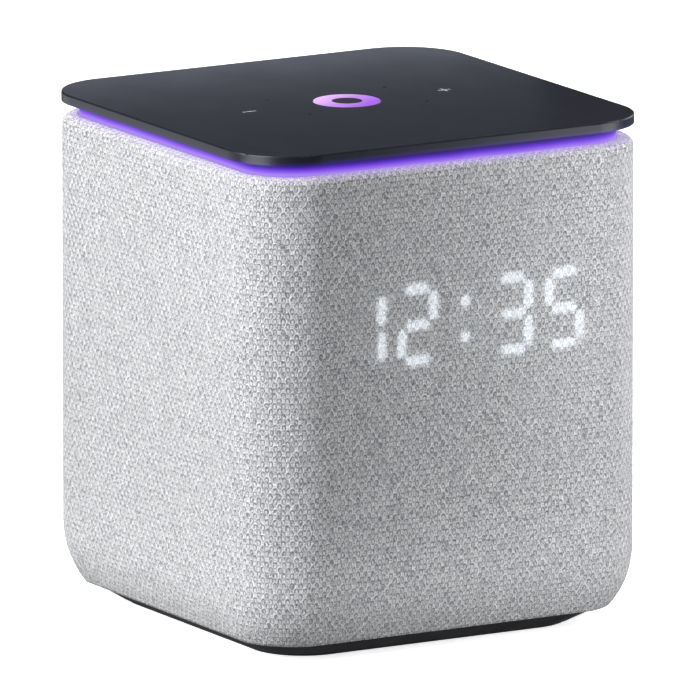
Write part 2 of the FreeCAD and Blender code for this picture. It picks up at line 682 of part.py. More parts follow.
def make_enclosure():
    front_depth = dim("baffle_deep")
    front = tub("baffle_blank", seam, front_depth, TO_FRONT, 1)
    half = box_half
    wall = dim("box_wall")
    reach = flange_screw_reach(woofer_round, dim("woofer_hole"))
    holes = [cylinder("woofer_opening", dim("woofer_hole"), half, (ZERO, ZERO, woofer_z), TO_FRONT),
             cylinder("tweeter_opening", dim("tweeter_hole"), half, (ZERO, ZERO, tweeter_z), TO_FRONT)]
    for x, z in driver_screw_places(woofer_z, reach):
        holes.append(cylinder("woofer_screw_hole", small_hole, half, (x, ZERO, z), TO_FRONT))
    for x, y in deck_screw_places()[::2]:
        holes.append(cylinder("deck_front_hole", screw_hole, wall * 2, (x, y, deck_bottom - wall * 2)))
    boss = dim("seam_boss_round")
    bosses = []
    for x, z in seam_screw_places():
        bosses.append(cylinder("baffle_boss", boss, front_depth - wall / 2, (x, seam, z), TO_FRONT))
        holes.append(cylinder("seam_front_hole", screw_hole, half, (x, ZERO, z), TO_FRONT))
    cut("baffle", joined("baffle_solid", [front] + bosses), holes)
    long_screw = front_depth + dim("seal_thick") + dim("seam_screw_bite")
    group("seam_screws", [large_screw("seam_screw", (x, -half, z), TO_BACK, long_screw)
                          for x, z in seam_screw_places()])

    rear_start = seam + dim("seal_thick")
    rear = tub("rear_tub_blank", rear_start, box_back - rear_start, TO_BACK, -1)
    posts = [cylinder("board_post", dim("post_round"), dim("board_stand"), (x, box_back, z), TO_BACK)
             for x, z in board_post_places()]
    for x, z in seam_screw_places():
        posts.append(cylinder("tub_boss", boss, dim("seam_boss_deep"), (x, rear_start, z), TO_BACK))
    bite = dim("board_screw_long")
    cuts = [cylinder("board_screw_hole", screw_hole, bite, (x, board_front + fit, z), TO_FRONT)
            for x, z in board_post_places()]
    for side, facing in ((-1, TO_LEFT), (1, TO_RIGHT)):
        at = (half * side / 2, radiator_y, radiator_z)
        cuts.append(cylinder("radiator_opening", dim("radiator_hole"), half, at, facing))
        screw_reach = flange_screw_reach(radiator_round, dim("radiator_hole"))
        for y, z in four(screw_reach, screw_reach):
            spot = (half * side / 2, radiator_y + y, radiator_z + z)
            cuts.append(cylinder("radiator_screw_hole", small_hole, half, spot, facing))
    for x, y in deck_screw_places()[1::2]:
        cuts.append(cylinder("deck_rear_hole", screw_hole, wall * 2, (x, y, deck_bottom - wall * 2)))
    for x, y in base_screw_places():
        cuts.append(cylinder("base_rear_hole", screw_hole, wall * 3, (x, y, dim("box_floor") - wall)))
    for x, z in seam_screw_places():
        bite = dim("seam_screw_bite") + fit
        cuts.append(cylinder("seam_rear_hole", screw_hole, bite, (x, rear_start, z), TO_BACK))
    cut("rear_tub", joined("rear_tub_solid", [rear] + posts), cuts)

    gasket = new_body("seam_gasket", y=rear_start, facing=TO_FRONT)
    outline = new_sketch(gasket, "seam_gasket_outline")
    low = dim("box_floor")
    rounded_rectangle(outline, -half, half, low, deck_bottom, dim("box_corner"))
    corner = dim("box_corner") - wall
    rounded_rectangle(outline, -half + wall, half - wall, low + wall, deck_bottom - wall, corner)
    pad(gasket, outline, dim("seal_thick"))


# ---- drivers --------------------------------------------------------------------------------

def woofer_heights():
    """Local heights down the motor, from the flange's seat: basket end, magnet top, magnet end, yoke end."""
    basket_end = -dim("basket_depth") - dim("basket_wall")
    magnet_top = basket_end - dim("front_steel")
    magnet_end = magnet_top - dim("magnet_thick")
    return basket_end, magnet_top, magnet_end, magnet_end - dim("yoke_thick")


def make_woofer():
    at = (ZERO, -box_half, woofer_z)
    basket_end, magnet_top, magnet_end, yoke_end = woofer_heights()
    flange = woofer_round
    throat = dim("woofer_hole") - fit * 3
    wall = dim("basket_wall")
    motor = dim("motor_round")
    bore = dim("coil_round") + dim("coil_thick") + dim("motor_gap")
    thick = dim("flange_thick")
    basket = [(throat - wall, thick), (throat - wall, ZERO), (motor - wall, -dim("basket_depth")),
              (bore, -dim("basket_depth")), (bore, basket_end), (motor, basket_end),
              (throat, -wall), (throat, ZERO), (flange, ZERO), (flange, thick)]
    blank = turned("basket_blank", [basket], at, TO_FRONT)
    reach = flange_screw_reach(flange, dim("woofer_hole"))
    spots = driver_screw_places(woofer_z, reach)
    half = box_half
    holes = [cylinder("basket_hole", small_hole, half, (x, -half / 2, z), TO_FRONT) for x, z in spots]
    cut("woofer_basket", blank, holes)
    seat = -half - thick
    group("woofer_screws", [small_screw("woofer_screw", (x, seat, z), TO_BACK) for x, z in spots])
    turned("woofer_front_steel", [band(bore, motor, magnet_top, basket_end)], at, TO_FRONT)
    turned("woofer_magnet", [band(bore + dim("motor_gap"), motor, magnet_end, magnet_top)], at, TO_FRONT)
    pole_top = basket_end
    pole = dim("pole_round")
    yoke = [(ZERO, yoke_end), (motor, yoke_end), (motor, magnet_end), (pole, magnet_end), (pole, pole_top),
            (ZERO, pole_top)]
    turned("woofer_yoke", [yoke], at, TO_FRONT)

    neck = -dim("cone_depth")
    coil = dim("coil_round")
    former = coil - dim("former_thick")
    coil_middle = (basket_end + magnet_top) / 2
    coil_end = coil_middle - dim("coil_long") / 2
    rim = cone_round
    paper = dim("cone_thick")
    cone = [(former, coil_end), (coil, coil_end), (coil, neck - paper), (rim, -paper), (rim, paper),
            (coil, neck + paper), (former / 2, neck + paper * 5), (ZERO, neck + paper * 6),
            (ZERO, neck + paper * 5), (former / 2, neck + paper * 4), (former, neck)]
    turned("woofer_cone", [cone], at, TO_FRONT)
    winding = band(coil, coil + dim("coil_thick"), coil_end, coil_end + dim("coil_long"))
    turned("voice_coil", [winding], at, TO_FRONT)

    spider_z = neck - dim("cone_thick") - dim("spider_thick") * 4
    shrink = (spider_z + dim("basket_depth")) / dim("basket_depth")
    spider_out = motor - wall + (throat - motor) * shrink - fit * 2
    spider = band(coil + fit * 2, spider_out, spider_z, spider_z + dim("spider_thick"))
    turned("woofer_spider", [spider], at, TO_FRONT)
    roll_surround("woofer_surround", rim, throat - wall, paper, thick, at, TO_FRONT)


def roll_surround(name, inner, outer, low, high, at, facing):
    """A rubber roll from the moving rim up over the gap to the flange."""
    thick = dim("roll_thick")
    lip = thick * 3
    top = high + thick + dim("roll_rise")
    middle_in = inner + (outer - inner) / 3
    middle_out = outer - (outer - inner) / 3
    profile = [(inner - lip, low), (inner, low), (middle_in, top - thick), (middle_out, top - thick),
               (outer, high), (outer + lip, high), (outer + lip, high + thick), (outer + thick, high + thick),
               (middle_out + thick, top), (middle_in - thick, top), (inner - thick, low + thick),
               (inner - lip, low + thick)]
    turned(name, [profile], at, facing)


def make_tweeter():
    at = (ZERO, -box_half, tweeter_z)
    flange = (dim("tweeter_hole") + dim("tweeter_flange"))
    throat = dim("tweeter_hole") - fit * 3
    wall = dim("basket_wall")
    cup_depth = dim("magnet_thick") + wall
    cup_end = -cup_depth - wall
    profile = [(ZERO, cup_end), (throat, cup_end), (throat, ZERO), (flange, ZERO), (flange, wall),
               (throat - wall, wall), (throat - wall, -cup_depth), (ZERO, -cup_depth)]
    turned("tweeter_housing", [profile], at, TO_FRONT)
    magnet = throat - wall - fit
    turned("tweeter_magnet", [band(ZERO, magnet, -cup_depth, -wall * 2)], at, TO_FRONT)
    foil = dim("foil_thick")
    rim = throat - wall - dim("motor_gap") * 2
    dome = [(ZERO, wall + foil), (rim / 2, wall), (rim, ZERO), (rim, foil), (rim / 2, wall + foil),
            (ZERO, wall + foil * 2)]
    turned("tweeter_dome", [dome], at, TO_FRONT)
    ring = band(rim + foil / 2, throat - wall - foil / 2, ZERO, foil)
    turned("tweeter_surround", [ring], at, TO_FRONT)


def make_radiator(word, side, facing):
    half = box_half
    at = (half * side, radiator_y, radiator_z)
    hole = dim("radiator_hole") - fit * 3
    wall = dim("basket_wall")
    flange = radiator_round
    thick = dim("flange_thick")
    lip = -wall * 2
    frame = [(hole - wall, lip), (hole, lip), (hole, ZERO), (flange, ZERO), (flange, thick),
             (hole - wall, thick)]
    blank = turned(f"{word}_frame_blank", [frame], at, facing)
    reach = flange_screw_reach(flange, dim("radiator_hole"))
    spots = [(radiator_y + y, radiator_z + z) for y, z in four(reach, reach)]
    start = half * side / 2
    cuts = [cylinder(f"{word}_frame_hole", small_hole, half, (start, y, z), facing) for y, z in spots]
    cut(f"{word}_radiator_frame", blank, cuts)
    inward = TO_RIGHT if side < 0 else TO_LEFT
    seat = (half + thick) * side
    screws = [small_screw(f"{word}_screw", (seat, y, z), inward) for y, z in spots]
    group(f"{word}_radiator_screws", screws)
    disc = (dim("radiator_hole") - dim("radiator_roll"))
    paper = dim("cone_thick")
    weight = disc / 2
    plate = [(ZERO, lip), (weight, lip), (weight, -paper), (disc, -paper), (disc, paper), (ZERO, paper)]
    turned(f"{word}_radiator_plate", [plate], at, facing)
    roll_surround(f"{word}_radiator_surround", disc, hole - wall, paper, thick, at, facing)


# ---- rear electronics -----------------------------------------------------------------------

def make_main_board():
    wide = dim("main_wide")
    low = (-wide / 2, board_front, dim("main_low"))
    blank = box("main_board_blank", low, (wide, dim("main_thick"), board_top - dim("main_low")))
    length = dim("main_thick") * 3
    places = board_post_places()
    start = board_front - dim("main_thick")
    holes = [cylinder("main_hole", screw_hole, length, (x, start, z), TO_BACK) for x, z in places]
    cut("main_board", blank, holes)
    long_screw = dim("board_screw_long")
    screws = [large_screw("board_screw", (x, board_back, z), TO_FRONT, long_screw) for x, z in places]
    group("board_screws", screws)


def on_board(name, x, z, wide, deep, rise=ZERO):
    """A square part of the main board's rear face, standing `rise` off it."""
    return centred_box(name, (x, board_back + rise + deep / 2, z), (wide, deep, wide))


def make_heat_sink():
    x = -dim("shield_x")
    z = board_top - dim("shield_drop")
    on_board("processor_shield", x, z, dim("shield_side"), dim("shield_tall"))
    side = dim("sink_side")
    pieces = [on_board("sink_base", x, z, side, dim("sink_floor"), dim("shield_tall"))]
    rise = dim("shield_tall") + dim("sink_floor")
    thick = dim("fin_thick")
    step = (side - thick) / (FINS - 1)
    for number in range(FINS):
        low = (x - side / 2 + step * number, board_back + rise - fit, z - side / 2)
        pieces.append(box("sink_fin", low, (thick, dim("fin_tall") + fit, side)))
    joined("heat_sink", pieces)


def make_board_parts():
    x = dim("chip_x")
    side = dim("chip_side")
    tall = dim("chip_tall")
    parts = [on_board("amplifier_chip", x, board_top - dim("chip_drop"), side, tall),
             on_board("power_chip", x, board_top - dim("chip_drop") - dim("chip_pitch"), side, tall)]
    for number in range(CAPACITORS):
        z = board_top - dim("capacitor_drop") - dim("capacitor_pitch") * number
        at = (dim("capacitor_x"), board_back, z)
        parts.append(cylinder("capacitor", dim("capacitor_round"), dim("capacitor_tall"), at, TO_BACK))
    group("board_components", parts)
    deep = dim("plug_deep")
    plug_z = board_top - dim("plug_drop")
    plug_span = (dim("plug_wide"), deep, dim("plug_tall"))
    centred_box("ribbon_connector", (ZERO, ribbon_y, plug_z), plug_span)
    thick = dim("ribbon_thick")
    start = plug_z + dim("plug_tall") / 2
    low = (-dim("ribbon_wide") / 2, ribbon_y - thick / 2, start)
    box("touch_ribbon", low, (dim("ribbon_wide"), thick, touch_bottom - start))


# ---- rear panel -----------------------------------------------------------------------------

def make_rear_panel():
    front = panel_block("panel_face", -fit, panel_inner, panel_outer - panel_inner)
    flange = panel_block("panel_lip", dim("panel_flange"), panel_inner, dim("panel_flange"))
    z = dim("panel_z")
    jack = -dim("jack_x")
    depth = panel_outer - panel_inner
    recess = cylinder("plug_recess", dim("recess_round"), depth, (jack, shell_inner, z), TO_BACK)
    start = panel_inner - depth / 2
    hole = cylinder("plug_hole", dim("jack_hole"), depth * 2, (jack, start, z), TO_BACK)
    button_hole = dim("button_round") + dim("slide_gap")
    bore = cylinder("button_bore", button_hole, depth * 2, (-jack, start, z), TO_BACK)
    cut("rear_panel", joined("panel_solid", [front, flange]), [recess, hole, bore])


def make_power_jack():
    z = dim("panel_z")
    jack = -dim("jack_x")
    deep = panel_inner - board_back
    span = (dim("jack_wide"), deep, dim("jack_tall"))
    body = centred_box("jack_blank", (jack, board_back + deep / 2, z), span)
    room = deep - dim("shell_wall")
    bore = cylinder("jack_bore", dim("jack_hole"), room, (jack, panel_inner, z), TO_FRONT)
    cut("power_jack", body, [bore])
    pin = dim("screw_round")
    cylinder("jack_pin", pin, room, (jack, panel_inner - room, z), TO_BACK)


def make_mute_button():
    z = dim("panel_z")
    at = (dim("jack_x"), ZERO, z)
    face = panel_outer + dim("button_proud")
    flange_top = panel_inner - dim("slide_gap")
    flange_low = flange_top - dim("button_flange")
    tip = board_back + dim("switch_tall") + dim("switch_tip") + dim("button_travel") + fit
    wide = dim("button_round") + dim("button_flange")
    stem = dim("button_stem")
    cap = dim("button_round")
    profile = [(ZERO, tip), (stem, tip), (stem, flange_low), (wide, flange_low), (wide, flange_top),
               (cap, flange_top), (cap, face), (ZERO, face)]
    turned("mute_button", [profile], at, TO_BACK)
    side = dim("switch_side")
    tall = dim("switch_tall")
    case = centred_box("switch_case", (at[0], board_back + tall / 2, z), (side, tall, side))
    plunger = cylinder("switch_plunger", stem, tall + dim("switch_tip"), (at[0], board_back, z), TO_BACK)
    joined("mute_switch", [case, plunger])


# ---- base -----------------------------------------------------------------------------------

def base_screw_places():
    return four((foot_side - dim("foot_width")) / 2, dim("foot_screw_y"))


def make_base():
    """A dish that slopes in to the foot, with a spigot inside the shell and four posts."""
    rim = dim("rim_height")
    bottom = dim("base_bottom")
    edge = dim("fabric_set_back") + fabric_inset(rim) + dim("base_edge_step")
    inset = edge + dim("base_slope")
    corner = dim("plate_corner")
    body = new_body("dish_blank", z=bottom)
    low = new_sketch(body, "dish_low")
    square(low, dim("plate_side") - inset * 2, corner - inset * dim("base_corner_share"))
    high = new_sketch(body, "dish_high", lift=rim - bottom)
    square(high, dim("plate_side") - edge * 2, corner - edge * dim("base_corner_share"))
    loft = body.newObject("PartDesign::AdditiveLoft", "dish_slope")
    loft.Profile = low
    loft.Sections = [high]
    loft.Ruled = True
    inward = skin + dim("shell_wall")
    spigot_side = fabric_side - (inward + fabric_inset(rim, inward) + dim("deck_gap")) * 2
    spigot_corner = spigot_side / 2 - (dim("plate_side") / 2 - corner)
    spigot = new_sketch(body, "dish_spigot", lift=rim - bottom)
    square(spigot, spigot_side, spigot_corner)
    pad(body, spigot, dim("spigot_height"))
    hollow = new_sketch(body, "dish_hollow", lift=rim - bottom + dim("spigot_height"))
    wall = dim("spigot_wall")
    square(hollow, spigot_side - wall * 2, spigot_corner - wall)
    floor_top = bottom + dim("base_floor")
    pocket(body, hollow, rim + dim("spigot_height") - floor_top)
    groove = square_ring("foot_groove", foot_side + fit * 2, dim("foot_corner") + fit,
                         dim("foot_width") + fit * 2, ZERO, bottom + dim("foot_sunk"))
    places = base_screw_places()
    tall = dim("box_floor") - bottom
    posts = [cylinder("base_post", dim("base_post_round"), tall, (x, y, bottom)) for x, y in places]
    seat = bottom + dim("base_floor")
    holes = [cylinder("base_hole", screw_hole, dim("box_floor"), (x, y, ZERO)) for x, y in places]
    well = dim("screw_head") + dim("screw_gap")
    wells = [cylinder("base_well", well, seat, (x, y, ZERO)) for x, y in places]
    cut("base_dish", joined("dish_solid", [body] + posts), [groove] + holes + wells)
    long_screw = dim("box_floor") + dim("box_wall") - seat - fit
    group("base_screws", [large_screw("base_screw", (x, y, seat), UP, long_screw) for x, y in places])
    tall = bottom + dim("foot_sunk")
    square_ring("rubber_foot", foot_side, dim("foot_corner"), dim("foot_width"), ZERO, tall)


NODES = (
    "top_plate", "activation_ring", "ring_centre_cap", "volume_marks", "light_guide", "light_board",
    "light_board_lamps", "touch_board", "microphones", "microphone_gaskets", "icon_lamps", "top_frame",
    "deck_screws", "fabric_sleeve", "grille_shell", "display_mask", "clock_segments", "display_board",
    "baffle", "rear_tub", "seam_gasket", "seam_screws", "woofer_basket", "woofer_screws",
    "woofer_front_steel", "woofer_magnet", "woofer_yoke", "woofer_cone", "voice_coil", "woofer_spider",
    "woofer_surround", "tweeter_housing", "tweeter_magnet", "tweeter_dome", "tweeter_surround",
    "left_radiator_frame", "left_radiator_screws", "left_radiator_plate", "left_radiator_surround",
    "right_radiator_frame", "right_radiator_screws", "right_radiator_plate", "right_radiator_surround",
    "main_board", "board_screws", "processor_shield", "heat_sink", "board_components",
    "ribbon_connector", "touch_ribbon", "rear_panel", "power_jack", "jack_pin", "mute_button",
    "mute_switch", "base_dish", "base_screws", "rubber_foot",
)


def check_document():
    for item in doc.Objects:
        if "Invalid" in item.State or "Error" in item.State:
            raise RuntimeError(f"{item.Label} failed: {item.State}")


def write_nodes():
    os.makedirs("parts", exist_ok=True)
    for name in NODES:
        shape = doc.getObject(name).Shape
        if shape.isNull() or not shape.isValid() or not shape.Solids:
            raise RuntimeError(f"{name} has no valid solid")
        shape.exportStep(f"parts/{name}.step")


make_top_plate()
make_icon()
make_light_band()
make_touch_board()
make_top_frame()
make_fabric()
make_shell()
make_display()
make_enclosure()
make_woofer()
make_tweeter()
make_radiator("left", -1, TO_LEFT)
make_radiator("right", 1, TO_RIGHT)
make_main_board()
make_heat_sink()
make_board_parts()
make_rear_panel()
make_power_jack()
make_mute_button()
make_base()
doc.recompute()
check_document()
write_nodes()
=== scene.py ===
import math

import bmesh
import bpy
import numpy as np
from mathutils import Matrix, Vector


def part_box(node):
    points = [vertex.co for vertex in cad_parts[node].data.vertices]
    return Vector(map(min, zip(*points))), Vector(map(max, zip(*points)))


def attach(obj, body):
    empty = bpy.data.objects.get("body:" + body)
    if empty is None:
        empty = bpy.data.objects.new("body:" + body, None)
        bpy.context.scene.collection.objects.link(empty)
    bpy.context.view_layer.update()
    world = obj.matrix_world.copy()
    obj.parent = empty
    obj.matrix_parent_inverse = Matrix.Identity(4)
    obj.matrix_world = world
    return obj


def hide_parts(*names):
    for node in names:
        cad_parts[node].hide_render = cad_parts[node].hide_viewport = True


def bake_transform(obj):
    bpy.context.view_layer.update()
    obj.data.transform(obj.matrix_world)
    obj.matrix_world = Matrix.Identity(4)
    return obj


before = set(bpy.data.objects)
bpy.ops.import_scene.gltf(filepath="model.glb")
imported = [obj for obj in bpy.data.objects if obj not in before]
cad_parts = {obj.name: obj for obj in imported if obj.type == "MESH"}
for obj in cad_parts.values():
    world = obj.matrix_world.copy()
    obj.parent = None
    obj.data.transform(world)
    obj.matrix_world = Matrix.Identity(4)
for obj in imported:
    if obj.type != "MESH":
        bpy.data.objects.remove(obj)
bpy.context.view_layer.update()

MM = 0.001

# Camera, from the photograph's angle: azimuth and elevation in degrees, distance and aim in metres.
CAMERA_AZIMUTH = -30.087
CAMERA_ELEVATION = 12.548
CAMERA_DISTANCE = 5.153
CAMERA_LENS = 1019.1
CAMERA_AIM = (0.00079, 0.06706)

# Knit sleeve, in metres: its shape, as in the frame, and its rear window and hems.
SLEEVE_CORNER = 17.5 * MM
SLEEVE_MOUTH = 54.4 * MM
SLEEVE_SHOULDER = 2.3 * MM
SLEEVE_SKIN = 1.3 * MM
SHOULDER_STEPS = 25
FOOT_CURVE_TOP = 23.0 * MM
FOOT_CURVE_INSET = 4.75 * MM
FOOT_CURVE_POWER = 2.6
FOOT_CURVE_STEPS = 120
FOOT_CORNER_EXTRA = 1.0 * MM
WINDOW_HALF = (23.0 * MM, 10.0 * MM)
WINDOW_CORNER = 4.0 * MM
WINDOW_MIDDLE = 31.0 * MM
HEM_FADE = 1.6 * MM

# The knit's stitches in the mesh: how many, how big a pit is, and how far a stitch strays.
STITCHES_ROUND = 200
ROWS_DOWN = 46
STEPS_PER_STITCH = 4
PIT_WIDE = 0.92 * MM
PIT_TALL = 1.22 * MM
PIT_DEEP = 0.18 * MM
RIDGE_PROUD = 0.06 * MM
YARN_ROUGH = 0.02 * MM
STITCH_WANDER = 0.17 * MM

# The knit's loops in the shader. A loop's pale ridge, partly painted highlight, and dark pit, partly painted
# shade, lie at these distances from its middle, each this far to either side, once its width and height are
# stretched by the two factors.
LOOP_JITTER = 0.10
LOOP_NARROW = 1.53
LOOP_SHORT = 1.32
RIDGE_AT, RIDGE_HALF = 1.09, 0.18
PIT_AT, PIT_HALF = 0.66, 0.25
WOBBLE_SIZE = 0.75 * MM
WOBBLE_REACH = 0.42 * MM
PATCH_SIZE = 0.9 * MM
FIBRE_SIZE = 0.30 * MM
SPECK_SIZE = 0.46 * MM
KNIT_DEPTH = 0.30 * MM
STAIN_SIZE = 17 * MM

# The driver's flexing rings.
RING_SLICES = 12
WELD = 0.001 * MM

# Clock, seven segments a digit. A bar is long where it is this many times its width.
TIME_SHOWN = "1235"
SEGMENTS_OF = {
    "1": ("upper_right", "lower_right"),
    "2": ("top", "upper_right", "middle", "lower_left", "bottom"),
    "3": ("top", "upper_right", "middle", "lower_right", "bottom"),
    "5": ("top", "upper_left", "middle", "lower_right", "bottom"),
}
LONG_BAR = 1.5
GLOW_REACH = 6.0 * MM
HALO_REACH = 4.5 * MM

# Band of light: its guide is dimmest at this spot, near the front's middle, and brightens over these
# distances from it; that brightening is painted light, standing in for the lamps' sheen on the band.
# It lights this much of the sleeve's top and of the plate's edge.
GUIDE_DIMMEST = (4.0 * MM, -54.0 * MM, 130.0 * MM)
GUIDE_DIM_REACH = (22 * MM, 62 * MM)
SPILL_TALL = 1.5 * MM
CAUGHT_TALL = 1.1 * MM
GUIDE_COLOURS = [
    (0.00, (0.375, 0.235, 0.840)),
    (0.11, (0.295, 0.143, 0.830)),
    (0.245, (0.205, 0.068, 0.720)),
    (0.377, (0.103, 0.029, 0.580)),
    (0.51, (0.047, 0.012, 0.320)),
    (0.64, (0.024, 0.008, 0.118)),
    (0.775, (0.015, 0.009, 0.042)),
]
RING_COLOURS = [(0.10, (0.80, 0.50, 0.88)), (0.45, (0.55, 0.27, 0.83)), (0.90, (0.34, 0.10, 0.71))]
RING_SWEEP = (0.55, -0.83, 0.0)

# Moulded plastics and rubbers: dark and light shade, roughness, grain and its depth in mm, specular level.
MOULDED = {
    "mark_print": ((0.32, 0.33, 0.35), (0.44, 0.45, 0.48), 0.55, 0.2, 0.004, 0.5),
    "soft_seal": ((0.010, 0.010, 0.011), (0.030, 0.030, 0.032), 0.86, 0.5, 0.06, 0.5),
    "frame_plastic": ((0.020, 0.020, 0.023), (0.036, 0.036, 0.040), 0.55, 0.3, 0.015, 0.5),
    "shell_plastic": ((0.060, 0.062, 0.066), (0.110, 0.112, 0.118), 0.58, 0.35, 0.02, 0.5),
    "enclosure_plastic": ((0.014, 0.014, 0.016), (0.028, 0.028, 0.031), 0.5, 0.4, 0.02, 0.5),
    "ferrite": ((0.018, 0.018, 0.019), (0.052, 0.050, 0.050), 0.62, 0.25, 0.03, 0.5),
    "roll_rubber": ((0.012, 0.012, 0.013), (0.026, 0.026, 0.028), 0.48, 0.4, 0.01, 0.5),
    "chip_black": ((0.010, 0.010, 0.011), (0.024, 0.024, 0.026), 0.55, 0.15, 0.012, 0.5),
    "base_plastic": ((0.005, 0.005, 0.007), (0.011, 0.011, 0.014), 0.5, 0.3, 0.02, 0.12),
    "foot_rubber": ((0.009, 0.009, 0.010), (0.022, 0.022, 0.024), 0.8, 0.5, 0.05, 0.5),
    "button_plastic": ((0.020, 0.020, 0.024), (0.034, 0.034, 0.040), 0.4, 0.25, 0.01, 0.5),
}

# Metals: dark and light shade, roughness, and the stretch of the brushing along each axis.
METALS = {
    "metal_can": ((0.62, 0.62, 0.60), (0.78, 0.78, 0.76), 0.34, (0.2, 3.0, 3.0)),
    "screw_steel": ((0.42, 0.42, 0.44), (0.66, 0.66, 0.68), 0.30, (1.0, 1.0, 1.0)),
    "motor_steel": ((0.36, 0.37, 0.39), (0.58, 0.58, 0.60), 0.38, (0.2, 0.2, 5.0)),
    "sink_aluminium": ((0.60, 0.61, 0.63), (0.80, 0.81, 0.83), 0.36, (0.2, 0.2, 5.0)),
    "contact_metal": ((0.72, 0.62, 0.40), (0.90, 0.82, 0.60), 0.22, (1.0, 1.0, 1.0)),
}

# Lamps: place, aim and size in metres, power in watts, and what doesn't see them, mirrors or matt surfaces.
LAMPS = {
    "left_key": ((-0.62, -0.115, 0.42), (0.0, 0.0, 0.07), (0.40, 0.50), 10.2, None),
    "front_fill": ((0.11, -0.17, 0.124), (0.133, -0.059, 0.106), (0.06, 0.23), 0.46, "glossy"),
    "front_bounce": ((0.022, -0.088, 0.006), (0.022, -0.055, 0.014), (0.17, 0.006), 0.014, "glossy"),
    "left_bounce": ((-0.088, 0.0, 0.006), (-0.055, 0.0, 0.014), (0.17, 0.006), 0.009, "glossy"),
    "right_fill": ((1.30, 0.35, 0.50), (0.0, 0.0, 0.06), (0.8, 0.9), 8.0, None),
    "back_fill": ((0.25, 1.30, 0.45), (0.0, 0.0, 0.06), (0.9, 0.9), 13.0, "glossy"),
    "top_light": ((0.15, 0.2, 1.6), (0.0, 0.0, 0.1), (1.2, 1.2), 6.0, None),
    "plate_sweep": ((0.010, 0.088, 0.1425), (0.0, 0.0, 0.134), (0.19, 0.008), 0.0042, "diffuse"),
    "right_glint": ((0.180, -0.19, 0.10), (0.05, -0.059, 0.133), (0.13, 0.08), 0.26, "diffuse"),
    "corner_glint": ((-0.30, -0.07, 0.078), (-0.058, -0.050, 0.133), (0.20, 0.08), 0.50, "diffuse"),
    "left_glint": ((-0.21, 0.27, 0.068), (-0.059, 0.0, 0.133), (0.30, 0.08), 0.12, "diffuse"),
}
LAMP_COLOURS = {"plate_sweep": (0.90, 0.97, 1.18)}
SKY_BELOW, SKY_ABOVE = 0.28, 0.08
FLOOR_HALF = 8.0
FLOOR_DROP = 0.05 * MM


def feed(tree, socket, value):
    """Links a socket to value where that is a socket, and else sets it."""
    if isinstance(value, bpy.types.NodeSocket):
        tree.links.new(value, socket)
    elif socket.type == "RGBA" and len(value) == 3:
        socket.default_value = (*value, 1.0)
    else:
        socket.default_value = value


def add(tree, kind, settings=None, inputs=None):
    """A new node with its settings and inputs."""
    node = tree.nodes.new("ShaderNode" + kind)
    for key, value in (settings or {}).items():
        setattr(node, key, value)
    for key, value in (inputs or {}).items():
        feed(tree, node.inputs[key], value)
    return node


def calc(tree, operation, first, second=0.0, third=0.0):
    """One arithmetic step on numbers or sockets."""
    inputs = {0: first, 1: second, 2: third}
    return add(tree, "Math", {"operation": operation}, inputs).outputs[0]


def vector(tree, operation, inputs, result="Vector"):
    """One step on vectors."""
    return add(tree, "VectorMath", {"operation": operation}, inputs).outputs[result]


def split(tree, value):
    """The three parts of a vector."""
    return tuple(add(tree, "SeparateXYZ", None, {0: value}).outputs)


def spread(tree, value, low, high, to_low=0.0, to_high=1.0, smooth=False):
    """value from low..high carried to to_low..to_high, and held at the ends."""
    settings = {"interpolation_type": "SMOOTHSTEP" if smooth else "LINEAR", "clamp": True}
    inputs = {0: value, 1: low, 2: high, 3: to_low, 4: to_high}
    return add(tree, "MapRange", settings, inputs).outputs[0]


def blend_colours(tree, share, first, second, how="MIX"):
    """Two colours mixed by share."""
    node = add(tree, "Mix", {"data_type": "RGBA", "blend_type": how})
    feed(tree, node.inputs[0], share)
    feed(tree, node.inputs[6], first)
    feed(tree, node.inputs[7], second)
    return node.outputs[2]


def ramp(tree, share, stops):
    """A colour ramp through (place, colour) stops."""
    node = add(tree, "ValToRGB", None, {0: share})
    band = node.color_ramp
    while len(band.elements) < len(stops):
        band.elements.new(0.5)
    for element, (place, colour) in zip(band.elements, stops):
        element.position = place
        element.color = (*colour, 1.0)
    return node.outputs[0]


def place_in(tree):
    """The piece's own coordinates, in metres."""
    return add(tree, "TexCoord").outputs["Object"]


def noise(tree, where, size, detail=3.0, rough=0.55, stretch=(1.0, 1.0, 1.0)):
    """Noise whose lumps are about size metres across."""
    where = add(tree, "Mapping", None, {"Vector": where, "Scale": stretch}).outputs[0]
    inputs = {"Vector": where, "Scale": 1.0 / size, "Detail": detail, "Roughness": rough}
    return add(tree, "TexNoise", None, inputs).outputs["Fac"]


def bumped(tree, shader, height, depth):
    """Sets the shader's normal from a height."""
    inputs = {"Height": height, "Distance": depth, "Strength": 1.0}
    feed(tree, shader.inputs["Normal"], add(tree, "Bump", None, inputs).outputs[0])


def new_material(name, roughness=0.5, metallic=0.0, specular=0.5, **plain):
    """A material, its tree and its shader, with the plain values set on the shader."""
    material = bpy.data.materials.new(name)
    material.use_nodes = True
    tree = material.node_tree
    tree.nodes.clear()
    shader = add(tree, "BsdfPrincipled")
    output = add(tree, "OutputMaterial")
    tree.links.new(shader.outputs["BSDF"], output.inputs["Surface"])
    shader.inputs["Roughness"].default_value = roughness
    shader.inputs["Metallic"].default_value = metallic
    shader.inputs["Specular IOR Level"].default_value = specular
    for key, value in plain.items():
        feed(tree, shader.inputs[key.replace("_", " ")], value)
    return material, tree, shader


